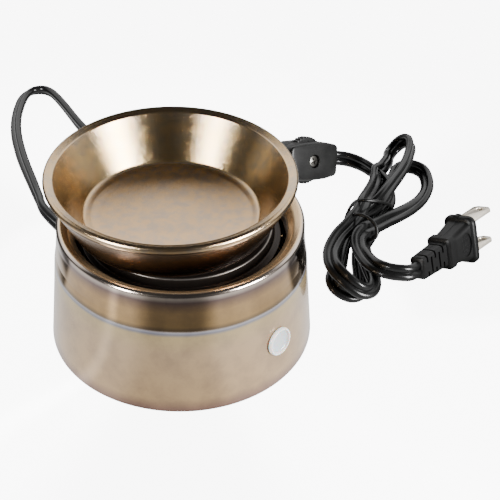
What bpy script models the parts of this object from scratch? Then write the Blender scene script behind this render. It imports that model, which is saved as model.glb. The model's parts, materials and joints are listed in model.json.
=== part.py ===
# Ceramic wax warmer: a glazed ceramic base with an electric hot plate, a loose wax dish,
# and a flat twin cord with an in-line rotary switch and a two-pin plug.
# Metres, +Z up, origin on the table under the middle of the base. The indicator lens faces -Y.

import math

import bmesh
import bpy
from mathutils import Matrix, Vector

# Clearances
GAP = 0.0003
SCREW_CLEARANCE = 0.0003
PLATE_CLEARANCE = 0.0006
COVER_CLEARANCE = 0.0005
WHEEL_CLEARANCE = 0.00035

# Sides of the large turned pieces
ROUND_STEPS = 40

# Ceramic base
BASE_RADIUS = 0.0475
SHOULDER_RADIUS = 0.0434
BASE_LIFT = 0.0008
CREST_HEIGHT = 0.0492
CREST_DEPTH = 0.005
BASE_WALL = 0.0054
LEDGE_THICKNESS = 0.004
LEDGE_WIDTH = 0.0046
FOOT_RING_WIDTH = 0.004
CREST_FILLET = 0.0022
SLOPE_FOOT = 0.0017
SLOPE_RISE = 0.0041
SLOPE_RUN = 0.0018
WALL_HEAD = 0.001

# Hot plate and what is clamped under it
PLATE_RADIUS = 0.0322
PLATE_SINK = 0.00255
PLATE_THICKNESS = 0.002
PLATE_DEPTH = 0.00505
FLANGE_WIDTH = 0.0029
FLANGE_THICKNESS = 0.0012
GASKET_THICKNESS = 0.0008
STUD_RADIUS = 0.002
HEATER_MARGIN = 0.0062
HEATER_THICKNESS = 0.002
INSULATOR_MARGIN = 0.0045
INSULATOR_THICKNESS = 0.0012
SPIDER_THICKNESS = 0.0012
SPIDER_HUB_RADIUS = 0.013
ARM_WIDTH = 0.0085
NUT_ACROSS_FLATS = 0.007
NUT_THICKNESS = 0.003
WASHER_RADIUS = 0.0045
WASHER_THICKNESS = 0.0008
STUD_END = 0.0009
FUSE_RADIUS = 0.002
FUSE_LENGTH = 0.011
FUSE_CLEARANCE = 0.0005
CLIP_WIDTH = 0.006
CLIP_THICKNESS = 0.0008

# Bottom cover, its screws, the standoffs and the feet
COVER_THICKNESS = 0.0021
COVER_DEPTH = 0.0008
COVER_RIB_HEIGHT = 0.003
COVER_RIB_WIDTH = 0.0015
BOSS_RADIUS = 0.005
BOSS_HEIGHT = 0.0033
STANDOFF_RADIUS = 0.003
ARM_CLEARANCE = 0.00035
STANDOFF_COUNT = 3
SPIGOT_RADIUS = 0.0015
RIVET_HEAD = 0.0006
RIVET_REACH = 0.0009
SCREW_RADIUS = 0.0013
SCREW_HEAD_RADIUS = 0.0028
SCREW_HEAD_HEIGHT = 0.0017
SCREW_SEAT = 0.0028
SCREW_LENGTH = 0.0085
FOOT_RADIUS = 0.005
FOOT_RING = 0.034
FOOT_COUNT = 4
FOOT_STEM_RADIUS = 0.0017
FOOT_BULB_RADIUS = 0.0023
FOOT_BULB_HEIGHT = 0.0026
SLOT_COUNT = 8
SLOT_WIDTH = 0.0024
SLOT_INNER = 0.008
SLOT_OUTER = 0.0185

# Indicator lens
LENS_RADIUS = 0.0052
LENS_HEIGHT = 0.0191
LENS_FLANGE = 0.0008
LENS_DOME = 0.0005
LENS_NECK_RADIUS = 0.0043
LENS_NECK_BEYOND = 0.0032
RETAINER_WIDTH = 0.002
RETAINER_THICKNESS = 0.001
LAMP_RADIUS = 0.0025
LAMP_LENGTH = 0.0078

# Cord bush and the cord inside the base
BUSH_ABOVE_COVER = 0.0006
BUSH_NECK_RADIUS = 0.004
BUSH_FLANGE_RADIUS = 0.0052
BUSH_FLANGE = 0.0016
BUSH_TAIL = 0.0128
BUSH_TAIL_RADIUS = 0.0044
BUSH_END_RADIUS = 0.0034
BUSH_RIBS = 4
BUSH_GROOVE = 0.0006
CORD_WIDTH = 0.0064
CORD_CLAMP_LENGTH = 0.006
CORD_CLAMP_NEAR = 0.0215
CORD_CLAMP_WALL = 0.0045
CORD_CLAMP_ROOF = 0.0013
CLAMP_SCREW_RADIUS = 0.001
CLAMP_HEAD_RADIUS = 0.0018
CLAMP_HEAD_HEIGHT = 0.0014
WIRE_RADIUS = 0.0009
CAP_RADIUS = 0.0032
CAP_LENGTH = 0.012
CAP_BASE = 0.018
CAP_SPREAD = 0.01
CAP_BACK = 0.012
WIRE_SEAT = 0.0016

# Wax dish, which stands a little off centre on the plate
DISH_OFFSET = (-0.0020, 0.0024)
DISH_FOOT_RADIUS = 0.0285
DISH_FOOT_WIDTH = 0.004
DISH_RECESS = 0.0004
DISH_FLOOR_RADIUS = 0.03115
DISH_FLOOR_THICKNESS = 0.00275
DISH_DIP = 0.0005
DISH_DIP_RADIUS = 0.026
DISH_DEPTH = 0.0173
DISH_RIM_RADIUS = 0.03996
DISH_WALL = 0.0033
LIP_REACH = 0.00205
LIP_RADIUS = 0.00143

# Rotary in-line switch: its length runs along its own X, its face looks along its own Z
SWITCH_LENGTH = 0.028
SWITCH_WIDTH = 0.016
SWITCH_END_WIDTH = 0.0134
SWITCH_THICKNESS = 0.0135
SWITCH_CHAMFER = 0.0011
SWITCH_PLACE = (0.1010, 0.0258, 0.0121)
SWITCH_YAW = math.radians(-9.5)
SWITCH_PITCH = math.radians(19.0)
SWITCH_LEAN = math.radians(20.0)
WHEEL_RADIUS = 0.010
WHEEL_THICKNESS = 0.0034
WHEEL_TEETH = 36
WHEEL_TOOTH = 0.0005
SWITCH_SCREW_RADIUS = 0.0014
SWITCH_SCREW_HEAD = 0.0026
SWITCH_SCREW_SEAT = 0.0022
SWITCH_NUT_RADIUS = 0.0028
SWITCH_NUT_THICKNESS = 0.0018

# Plug: its pins point along its own X, one above the other, and it leans as it lies
PLUG_PLACE = (0.0709, -0.0546, 0.0143)
PLUG_YAW = math.radians(1.3)
PLUG_PITCH = math.radians(6.5)
PLUG_LEAN = math.radians(-19.4)
PLUG_LENGTH = 0.0332
PLUG_FLANGE_HEIGHT = 0.0192
PLUG_FLANGE_WIDTH = 0.0134
PLUG_FLANGE_THICKNESS = 0.0034
PLUG_WAIST_HEIGHT = 0.0118
PLUG_WAIST_WIDTH = 0.0098
PLUG_SHOULDER_HEIGHT = 0.0158
PLUG_SHOULDER_WIDTH = 0.0112
PLUG_FLARE = 1.4
PLUG_COLLAR_HEIGHT = 0.0128
PLUG_COLLAR_WIDTH = 0.0108
PLUG_COLLAR_LENGTH = 0.0037
RELIEF_LENGTH = 0.0152
RELIEF_HEIGHT = 0.0088
RELIEF_WIDTH = 0.0062
RELIEF_GROWTH = 0.0009
RELIEF_RINGS = 6
RELIEF_SLOT = 0.0009
RELIEF_SLOT_DEPTH = 0.0018
BLADE_SPACING = 0.0127
BLADE_LENGTH = 0.0159
BLADE_THICKNESS = 0.0015
BLADE_WIDTH = 0.00635
BLADE_WIDE = 0.0079
BLADE_HOLE_RADIUS = 0.0016

# Hank of spare cord and its tie
HANK_NEAR = (0.063, -0.031)
HANK_FAR = (0.1385, 0.002)
HANK_NEAR_RADIUS = 0.012
HANK_FAR_RADIUS = 0.013
HANK_WAIST = 0.0085
HANK_HEIGHT = 0.0105
HANK_ENTRY = 0.85
HANK_EXIT_HEIGHT = 0.0088
HANK_EXIT = math.radians(-116)
TIE_AT = 0.37
TIE_WIDTH = 0.003
TIE_THICKNESS = 0.001

# Places that follow from the sizes above
SHOULDER_HEIGHT = CREST_HEIGHT - CREST_DEPTH
PLATE_TOP = CREST_HEIGHT - PLATE_SINK
PLATE_UNDERSIDE = PLATE_TOP - PLATE_THICKNESS
FLANGE_RADIUS = PLATE_RADIUS + FLANGE_WIDTH
FLANGE_BOTTOM = PLATE_TOP - PLATE_DEPTH
FLANGE_TOP = FLANGE_BOTTOM + FLANGE_THICKNESS
LEDGE_TOP = FLANGE_BOTTOM - GASKET_THICKNESS - 2 * GAP
LEDGE_BOTTOM = LEDGE_TOP - LEDGE_THICKNESS
OPENING_RADIUS = FLANGE_RADIUS + PLATE_CLEARANCE
LEDGE_RADIUS = OPENING_RADIUS - LEDGE_WIDTH
STANDOFF_RING = LEDGE_RADIUS - ARM_CLEARANCE - ARM_WIDTH / 2
HEATER_RADIUS = PLATE_RADIUS - PLATE_THICKNESS - HEATER_MARGIN
HEATER_TOP = PLATE_UNDERSIDE - GAP
HEATER_BOTTOM = HEATER_TOP - HEATER_THICKNESS
INSULATOR_TOP = HEATER_BOTTOM - GAP
SPIDER_TOP = INSULATOR_TOP - INSULATOR_THICKNESS - GAP
SPIDER_BOTTOM = SPIDER_TOP - SPIDER_THICKNESS
CLIP_TOP = SPIDER_BOTTOM - GAP
WASHER_TOP = CLIP_TOP - CLIP_THICKNESS - GAP
NUT_TOP = WASHER_TOP - WASHER_THICKNESS - GAP
STUD_BOTTOM = NUT_TOP - NUT_THICKNESS - STUD_END
FUSE_OFFSET = HEATER_RADIUS - INSULATOR_MARGIN + FUSE_CLEARANCE + FUSE_RADIUS
FUSE_HEIGHT = HEATER_BOTTOM - GAP - FUSE_RADIUS
COVER_BOTTOM = BASE_LIFT + COVER_DEPTH
COVER_TOP = COVER_BOTTOM + COVER_THICKNESS
COVER_SEAT = COVER_TOP + GAP
COVER_RIB_TOP = COVER_TOP + COVER_RIB_HEIGHT
BUSH_HEIGHT = COVER_TOP + BUSH_FLANGE_RADIUS + BUSH_ABOVE_COVER
BOSS_TOP = COVER_TOP + BOSS_HEIGHT
COVER_RECESS_RADIUS = BASE_RADIUS - FOOT_RING_WIDTH
COVER_RADIUS = COVER_RECESS_RADIUS - COVER_CLEARANCE
WALL_TAPER = math.atan2(BASE_RADIUS - SHOULDER_RADIUS, SHOULDER_HEIGHT - BASE_LIFT)
CORD_HOLE_RADIUS = BUSH_NECK_RADIUS + GAP
DISH_BOTTOM = PLATE_TOP + GAP
DISH_FLOOR = DISH_BOTTOM + DISH_FLOOR_THICKNESS
DISH_RIM = DISH_FLOOR + DISH_DEPTH


def clear_scene():
    for old in list(bpy.data.objects):
        bpy.data.objects.remove(old, do_unlink=True)


def new_collection(name):
    group = bpy.data.collections.new(name)
    bpy.context.scene.collection.children.link(group)
    return group


def make_material(name, colour, roughness, metallic=0.0):
    finish = bpy.data.materials.new(name)
    finish.use_nodes = True
    finish.diffuse_color = (*colour, 1.0)
    shader = finish.node_tree.nodes["Principled BSDF"]
    shader.inputs["Base Color"].default_value = (*colour, 1.0)
    shader.inputs["Roughness"].default_value = roughness
    shader.inputs["Metallic"].default_value = metallic
    return finish


clear_scene()
PARTS = new_collection("ceramic_wax_warmer")
CUTTERS = new_collection("cutters")
CUTTERS.hide_render = True

GLAZE = make_material("bronze_glaze", (0.42, 0.31, 0.19), 0.18, 0.6)
ALUMINIUM = make_material("aluminium", (0.62, 0.61, 0.60), 0.35, 1.0)
STEEL = make_material("zinc_steel", (0.55, 0.55, 0.56), 0.4, 1.0)
MICA = make_material("mica", (0.55, 0.47, 0.33), 0.6)
SILICONE = make_material("silicone", (0.06, 0.06, 0.06), 0.6)
LENS = make_material("lens_plastic", (0.78, 0.84, 0.92), 0.25)
BLACK_PLASTIC = make_material("black_plastic", (0.02, 0.02, 0.02), 0.45)
BLACK_RUBBER = make_material("black_rubber", (0.03, 0.03, 0.03), 0.7)
CORD_BLACK = make_material("cord_black", (0.015, 0.015, 0.015), 0.4)
WIRE_WHITE = make_material("wire_sleeve", (0.75, 0.74, 0.70), 0.7)
NICKEL = make_material("nickel", (0.75, 0.72, 0.66), 0.25, 1.0)


def add_object(name, data, finish=None, place=None):
    obj = bpy.data.objects.new(name, data)
    if finish is None:
        CUTTERS.objects.link(obj)
        obj.hide_render = True
        obj.display_type = "WIRE"
    else:
        PARTS.objects.link(obj)
        data.materials.append(finish)
    if place is not None:
        obj.matrix_world = place
    return obj


def at(x, y, z=0.0):
    return Matrix.Translation((x, y, z))


def turn(degrees, axis):
    return Matrix.Rotation(math.radians(degrees), 4, axis)


def on_ring(index, count, radius, start=0.0):
    angle = start + 2 * math.pi * index / count
    return radius * math.cos(angle), radius * math.sin(angle)


def sagitta(radius, half_chord):
    return radius - math.sqrt(radius * radius - half_chord * half_chord)


def rounded(corners, steps=4):
    """Points along corners of (r, z, fillet), each fillet as an arc of this many steps."""
    points = []
    last = len(corners) - 1
    for index, (r, z, fillet) in enumerate(corners):
        here = Vector((r, z))
        if fillet == 0:
            points.append(here)
            continue
        before = Vector(corners[index - 1][:2]) - here
        after = Vector(corners[0 if index == last else index + 1][:2]) - here
        half = before.angle(after) / 2
        reach = min(fillet / math.tan(half), 0.49 * before.length, 0.49 * after.length)
        bisector = (before.normalized() + after.normalized()).normalized()
        centre = here + bisector * (reach / math.cos(half))
        start = here + before.normalized() * reach - centre
        end = here + after.normalized() * reach - centre
        sweep = start.angle_signed(end)
        for step in range(steps + 1):
            points.append(centre + Matrix.Rotation(-sweep * step / steps, 2) @ start)
    return points


def turned(name, corners, finish=None, place=None, segments=32, ring=False, arc_steps=3):
    """A turned solid: the outline runs over the top and down the outer side, then back."""
    points = rounded(corners, arc_steps)
    mesh = bpy.data.meshes.new(name)
    edges = [(i, i + 1) for i in range(len(points) - 1)]
    if ring:
        edges.append((len(points) - 1, 0))
    mesh.from_pydata([(p[0], 0.0, p[1]) for p in points], edges, [])
    obj = add_object(name, mesh, finish, place)
    screw = obj.modifiers.new("Turn", "SCREW")
    screw.axis = "Z"
    screw.angle = 2 * math.pi
    screw.steps = segments
    screw.render_steps = segments
    screw.use_merge_vertices = True
    screw.merge_threshold = 0.00001
    screw.use_smooth_shade = True
    return obj


def washer_corners(inner, outer, low, high, fillet=0.0):
    return [(inner, high, 0.0), (outer, high, fillet), (outer, low, fillet), (inner, low, 0.0)]


def rod_corners(radius, low, high, fillet=0.0):
    return [(0.0, high, 0.0), (radius, high, fillet), (radius, low, fillet), (0.0, low, 0.0)]


def circle(radius, centre=(0.0, 0.0), steps=24):
    return [
        (
            centre[0] + radius * math.cos(2 * math.pi * i / steps),
            centre[1] + radius * math.sin(2 * math.pi * i / steps),
        )
        for i in range(steps)
    ]


def slab(name, outlines, thickness, finish=None, place=None):
    """A flat piece from closed outlines, the first its edge and the others its holes."""
    curve = bpy.data.curves.new(name, "CURVE")
    curve.dimensions = "2D"
    curve.fill_mode = "BOTH"
    curve.extrude = thickness / 2
    for outline in outlines:
        spline = curve.splines.new("POLY")
        spline.points.add(len(outline) - 1)
        for point, (x, y) in zip(spline.points, outline):
            point.co = (x, y, 0.0, 1.0)
        spline.use_cyclic_u = True
    return add_object(name, curve, finish, place)


def as_mesh(obj):
    """The same piece as a welded mesh, ready to be cut or bevelled."""
    bpy.context.view_layer.update()
    graph = bpy.context.evaluated_depsgraph_get()
    mesh = bpy.data.meshes.new_from_object(obj.evaluated_get(graph))
    work = bmesh.new()
    work.from_mesh(mesh)
    bmesh.ops.remove_doubles(work, verts=work.verts, dist=0.000001)
    bmesh.ops.recalc_face_normals(work, faces=work.faces)
    work.to_mesh(mesh)
    work.free()
    name = obj.name
    place = obj.matrix_world.copy()
    group = obj.users_collection[0]
    bpy.data.objects.remove(obj, do_unlink=True)
    solid = bpy.data.objects.new(name, mesh)
    group.objects.link(solid)
    solid.matrix_world = place
    if group == CUTTERS:
        solid.hide_render = True
        solid.display_type = "WIRE"
    return solid


def boolean(obj, tool, operation="DIFFERENCE"):
    change = obj.modifiers.new(operation.title(), "BOOLEAN")
    change.operation = operation
    change.solver = "EXACT"
    change.object = tool
    return obj


def rod_cutter(name, radius, low, high, place, segments=16):
    return turned(name, rod_corners(radius, low, high), None, place, segments)


def bar(name, size, finish=None, place=None, edge=0.0):
    mesh = bpy.data.meshes.new(name)
    work = bmesh.new()
    bmesh.ops.create_cube(work, size=1.0)
    bmesh.ops.scale(work, vec=size, verts=work.verts)
    if edge:
        bmesh.ops.bevel(
            work, geom=work.edges, offset=edge, segments=2, profile=0.5, affect="EDGES", material=-1
        )
    work.to_mesh(mesh)
    work.free()
    return add_object(name, mesh, finish, place)


def smooth_route(points, spacing):
    """Evenly spaced points on a smooth curve through the given ones, with its straight ends kept."""
    knots = [Vector(p) for p in points]
    ends = knots[0], knots[-1]
    fine = []
    for i in range(1, len(knots) - 2):
        a, b, c, d = knots[i - 1 : i + 3]
        for step in range(12):
            t = step / 12
            fine.append(
                0.5 * (2 * b + (c - a) * t + (2 * a - 5 * b + 4 * c - d) * t * t + (3 * b - a - 3 * c + d) * t**3)
            )
    fine.append(knots[-2])
    length = sum((q - p).length for p, q in zip(fine, fine[1:]))
    count = max(2, round(length / spacing))
    route = [fine[0]]
    walked = 0.0
    for p, q in zip(fine, fine[1:]):
        step = (q - p).length
        while len(route) < count and walked + step >= len(route) * length / count:
            route.append(p.lerp(q, (len(route) * length / count - walked) / step))
        walked += step
    route.append(fine[-1])
    return [ends[0]] + route + [ends[1]]


def tube(name, points, radius, finish, resolution=2, spacing=3.0):
    curve = bpy.data.curves.new(name, "CURVE")
    curve.dimensions = "3D"
    curve.bevel_depth = radius
    curve.bevel_resolution = resolution
    curve.use_fill_caps = True
    route = smooth_route(points, 2 * radius * spacing)
    spline = curve.splines.new("POLY")
    spline.points.add(len(route) - 1)
    for point, co in zip(spline.points, route):
        point.co = (*co, 1.0)
    return add_object(name, curve, finish)


def wall_radius(height):
    """Outer radius of the ceramic wall at this height."""
    return BASE_RADIUS - (height - BASE_LIFT) * math.tan(WALL_TAPER)


# Ceramic base
def inner_radius(height):
    return wall_radius(height) - BASE_WALL


def ceramic_base():
    slope_foot = LEDGE_TOP + SLOPE_FOOT
    wall_top = LEDGE_BOTTOM - WALL_HEAD
    body = turned(
        "ceramic_base",
        [
            (LEDGE_RADIUS, LEDGE_TOP, 0.0),
            (OPENING_RADIUS, LEDGE_TOP, 0.0),
            (OPENING_RADIUS, slope_foot, 0.0004),
            (OPENING_RADIUS + SLOPE_RUN, slope_foot + SLOPE_RISE, 0.006),
            (SHOULDER_RADIUS - CREST_FILLET / 4, CREST_HEIGHT, CREST_FILLET),
            (SHOULDER_RADIUS, CREST_HEIGHT - CREST_FILLET, CREST_FILLET),
            (SHOULDER_RADIUS, SHOULDER_HEIGHT, 0.02),
            (BASE_RADIUS, BASE_LIFT, 0.0018),
            (COVER_RECESS_RADIUS, BASE_LIFT, 0.0),
            (COVER_RECESS_RADIUS, COVER_SEAT, 0.0),
            (inner_radius(COVER_SEAT), COVER_SEAT, 0.0),
            (inner_radius(wall_top), wall_top, 0.004),
            (LEDGE_RADIUS, LEDGE_BOTTOM, 0.0),
        ],
        GLAZE,
        segments=ROUND_STEPS,
        ring=True,
        arc_steps=2,
    )
    boolean(body, rod_cutter("lens_hole", LENS_NECK_RADIUS + GAP, -0.012, 0.006, lens_frame(), 24))
    boolean(body, rod_cutter("cord_hole", CORD_HOLE_RADIUS, -0.012, 0.006, bush_frame(), 24))


def wall_frame(height):
    """Origin on the front of the outer wall at this height, +Z along the wall's outward normal."""
    return at(0.0, -wall_radius(height), height) @ Matrix.Rotation(math.pi / 2 - WALL_TAPER, 4, "X")


def lens_frame():
    return wall_frame(LENS_HEIGHT)


def bush_frame():
    return turn(180, "Z") @ wall_frame(BUSH_HEIGHT)


# Hot plate, gasket and heater
def hot_plate():
    turned(
        "hot_plate",
        [
            (0.0, PLATE_TOP, 0.0),
            (PLATE_RADIUS, PLATE_TOP, 0.0005),
            (PLATE_RADIUS + 0.0004, FLANGE_TOP, 0.0006),
            (FLANGE_RADIUS, FLANGE_TOP, 0.0003),
            (FLANGE_RADIUS, FLANGE_BOTTOM, 0.0),
            (PLATE_RADIUS - PLATE_THICKNESS, FLANGE_BOTTOM, 0.0),
            (PLATE_RADIUS - PLATE_THICKNESS, PLATE_UNDERSIDE, 0.0),
            (STUD_RADIUS, PLATE_UNDERSIDE, 0.0),
            (STUD_RADIUS, STUD_BOTTOM, 0.0),
            (0.0, STUD_BOTTOM, 0.0),
        ],
        ALUMINIUM,
        segments=ROUND_STEPS,
        arc_steps=1,
    )
    turned(
        "plate_gasket",
        washer_corners(LEDGE_RADIUS + GAP, FLANGE_RADIUS, LEDGE_TOP + GAP, FLANGE_BOTTOM - GAP),
        SILICONE,
        segments=ROUND_STEPS,
        ring=True,
    )


def heater():
    bore = STUD_RADIUS + GAP
    turned(
        "heater_element",
        washer_corners(bore, HEATER_RADIUS, HEATER_BOTTOM, HEATER_TOP),
        MICA,
        segments=32,
        ring=True,
    )
    radius = HEATER_RADIUS - INSULATOR_MARGIN
    low = INSULATOR_TOP - INSULATOR_THICKNESS
    turned(
        "heater_insulator",
        washer_corners(bore, radius, low, INSULATOR_TOP),
        WIRE_WHITE,
        segments=32,
        ring=True,
    )


# Clamp spider under the heater: a hub and one arm for each standoff
def spider_outline():
    points = []
    half = ARM_WIDTH / 2
    root = math.sqrt(SPIDER_HUB_RADIUS**2 - half**2)
    root_angle = math.atan2(half, root)
    pitch = 2 * math.pi / STANDOFF_COUNT
    for arm in range(STANDOFF_COUNT):
        local = [(root, -half)]
        for step in range(9):
            angle = -math.pi / 2 + math.pi * step / 8
            local.append((STANDOFF_RING + half * math.cos(angle), half * math.sin(angle)))
        local.append((root, half))
        for step in range(1, 5):
            angle = root_angle + (pitch - 2 * root_angle) * step / 5
            local.append((SPIDER_HUB_RADIUS * math.cos(angle), SPIDER_HUB_RADIUS * math.sin(angle)))
        turned_by = Matrix.Rotation(pitch * arm, 2)
        points += [tuple(turned_by @ Vector(p)) for p in local]
    return points


def clamp_parts():
    holes = [circle(STUD_RADIUS + GAP, steps=16)]
    for index in range(STANDOFF_COUNT):
        holes.append(circle(SPIGOT_RADIUS + GAP, on_ring(index, STANDOFF_COUNT, STANDOFF_RING), 12))
    middle = SPIDER_TOP - SPIDER_THICKNESS / 2
    slab("clamp_spider", [spider_outline()] + holes, SPIDER_THICKNESS, STEEL, at(0, 0, middle))
    turned(
        "clamp_washer",
        washer_corners(STUD_RADIUS + GAP, WASHER_RADIUS, WASHER_TOP - WASHER_THICKNESS, WASHER_TOP),
        STEEL,
        segments=16,
        ring=True,
    )
    nut = [circle(NUT_ACROSS_FLATS / math.sqrt(3), steps=6), circle(STUD_RADIUS + GAP, steps=16)]
    slab("clamp_nut", nut, NUT_THICKNESS, STEEL, at(0, 0, NUT_TOP - NUT_THICKNESS / 2))


def fuse_parts():
    end = FUSE_LENGTH / 2
    body = [
        (0.0, end, 0.0),
        (FUSE_RADIUS * 0.55, end, 0.0),
        (FUSE_RADIUS, end - FUSE_RADIUS, 0.0006),
        (FUSE_RADIUS, -end, 0.0004),
        (0.0, -end, 0.0),
    ]
    place = at(-FUSE_OFFSET, 0, FUSE_HEIGHT) @ turn(-90, "X")
    turned("thermal_fuse", body, NICKEL, place, segments=12, arc_steps=2)
    # The strap is held at the stud, runs out under the spider and cups the fuse.
    low = FUSE_HEIGHT - FUSE_RADIUS - GAP
    inner = FUSE_OFFSET - FUSE_RADIUS - GAP
    outer = FUSE_OFFSET + FUSE_RADIUS + GAP
    thick = CLIP_THICKNESS
    side = [
        (-WASHER_RADIUS, CLIP_TOP - thick),
        (-WASHER_RADIUS, CLIP_TOP),
        (inner - thick, CLIP_TOP),
        (inner, CLIP_TOP - 1.3 * thick),
        (inner, low),
        (outer, low),
        (outer, FUSE_HEIGHT + FUSE_RADIUS / 2),
        (outer + thick, FUSE_HEIGHT + FUSE_RADIUS / 2),
        (outer + thick, low - thick),
        (inner - thick, low - thick),
        (inner - thick, CLIP_TOP - thick),
    ]
    place = turn(180, "Z") @ turn(90, "X")
    clip = as_mesh(slab("fuse_clip", [side], CLIP_WIDTH, STEEL, place))
    boolean(clip, rod_cutter("clip_hole", STUD_RADIUS + GAP, STUD_BOTTOM, PLATE_TOP, at(0, 0), 16))


# Bottom cover, standoffs, screws and feet
def bottom_cover():
    rib_outer = inner_radius(COVER_RIB_TOP) - COVER_CLEARANCE
    rib_inner = rib_outer - COVER_RIB_WIDTH
    cover = turned(
        "bottom_cover",
        [
            (0.0, COVER_TOP, 0.0),
            (rib_inner, COVER_TOP, 0.0),
            (rib_inner, COVER_RIB_TOP, 0.0),
            (rib_outer, COVER_RIB_TOP, 0.0),
            (rib_outer, COVER_TOP, 0.0),
            (COVER_RADIUS, COVER_TOP, 0.0),
            (COVER_RADIUS, COVER_BOTTOM, 0.0006),
            (0.0, COVER_BOTTOM, 0.0),
        ],
        BLACK_PLASTIC,
        segments=ROUND_STEPS,
        arc_steps=1,
    )
    notch = (2 * BUSH_FLANGE_RADIUS + 0.002, 2 * COVER_RIB_WIDTH + 0.004, COVER_RIB_HEIGHT)
    boolean(cover, bar("cord_notch", notch, None, at(0.0, rib_inner, COVER_TOP + COVER_RIB_HEIGHT / 2)))
    for index in range(STANDOFF_COUNT):
        place = at(*on_ring(index, STANDOFF_COUNT, STANDOFF_RING))
        middle = (COVER_BOTTOM + COVER_TOP) / 2
        boss = rod_cutter(f"boss_{index + 1}", BOSS_RADIUS, middle, BOSS_TOP, place, 20)
        boolean(cover, boss, "UNION")
        seat = COVER_BOTTOM + SCREW_SEAT
        head = rod_cutter(f"boss_recess_{index + 1}", SCREW_HEAD_RADIUS + SCREW_CLEARANCE, 0.0, seat, place)
        shank = rod_cutter(f"boss_bore_{index + 1}", SCREW_RADIUS + SCREW_CLEARANCE, 0.0, 0.02, place, 14)
        boolean(cover, head)
        boolean(cover, shank)
    for index in range(FOOT_COUNT):
        place = at(*on_ring(index, FOOT_COUNT, FOOT_RING, math.pi / FOOT_COUNT))
        boolean(cover, rod_cutter(f"foot_hole_{index + 1}", FOOT_STEM_RADIUS + GAP, 0.0, 0.02, place, 14))
    for side in (-1, 1):
        place = at(side * clamp_screw_offset(), CORD_CLAMP_NEAR + CORD_CLAMP_LENGTH / 2)
        boolean(cover, rod_cutter(f"clamp_hole_{side}", CLAMP_SCREW_RADIUS + GAP, 0.0, 0.02, place, 12))
    for index in range(SLOT_COUNT):
        angle = math.pi / SLOT_COUNT + 2 * math.pi * index / SLOT_COUNT
        middle = (SLOT_INNER + SLOT_OUTER) / 2
        size = (SLOT_OUTER - SLOT_INNER, SLOT_WIDTH, 0.02)
        place = Matrix.Rotation(angle, 4, "Z") @ at(middle, 0.0, COVER_BOTTOM)
        boolean(cover, bar(f"vent_slot_{index + 1}", size, None, place))


def standoffs():
    low = BOSS_TOP + GAP
    bore = SCREW_RADIUS + SCREW_CLEARANCE
    seat = COVER_BOTTOM + SCREW_SEAT + GAP
    hole_top = seat + SCREW_LENGTH + GAP
    for index in range(STANDOFF_COUNT):
        place = at(*on_ring(index, STANDOFF_COUNT, STANDOFF_RING))
        rivet = SPIDER_TOP + GAP
        turned(
            f"standoff_{index + 1}",
            [
                (0.0, rivet + RIVET_HEAD, 0.0),
                (SPIGOT_RADIUS + RIVET_REACH, rivet + RIVET_HEAD, 0.0003),
                (SPIGOT_RADIUS + RIVET_REACH, rivet, 0.0),
                (SPIGOT_RADIUS, rivet, 0.0),
                (SPIGOT_RADIUS, SPIDER_BOTTOM - GAP, 0.0),
                (STANDOFF_RADIUS, SPIDER_BOTTOM - GAP, 0.0),
                (STANDOFF_RADIUS, low, 0.0),
                (bore, low, 0.0),
                (bore, hole_top, 0.0),
                (0.0, hole_top, 0.0),
            ],
            STEEL,
            place,
            segments=12,
            arc_steps=1,
        )
        turned(
            f"cover_screw_{index + 1}",
            [
                (0.0, seat + SCREW_LENGTH, 0.0),
                (SCREW_RADIUS, seat + SCREW_LENGTH, 0.0004),
                (SCREW_RADIUS, seat - GAP, 0.0),
                (SCREW_HEAD_RADIUS, seat - 2 * GAP, 0.0),
                (SCREW_HEAD_RADIUS, seat - 2 * GAP - SCREW_HEAD_HEIGHT, 0.0007),
                (0.0, seat - 2 * GAP - SCREW_HEAD_HEIGHT, 0.0),
            ],
            STEEL,
            place,
            segments=12,
            arc_steps=1,
        )


def feet():
    for index in range(FOOT_COUNT):
        turned(
            f"foot_{index + 1}",
            [
                (0.0, COVER_TOP + FOOT_BULB_HEIGHT, 0.0),
                (FOOT_BULB_RADIUS * 0.5, COVER_TOP + FOOT_BULB_HEIGHT, 0.0),
                (FOOT_BULB_RADIUS, COVER_TOP + GAP, 0.0),
                (FOOT_STEM_RADIUS, COVER_TOP + GAP, 0.0),
                (FOOT_STEM_RADIUS, COVER_BOTTOM - GAP, 0.0),
                (FOOT_RADIUS, COVER_BOTTOM - GAP, 0.0003),
                (FOOT_RADIUS * 0.94, 0.0, 0.0004),
                (0.0, 0.0, 0.0),
            ],
            BLACK_RUBBER,
            at(*on_ring(index, FOOT_COUNT, FOOT_RING, math.pi / FOOT_COUNT)),
            segments=14,
            arc_steps=1,
        )


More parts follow.
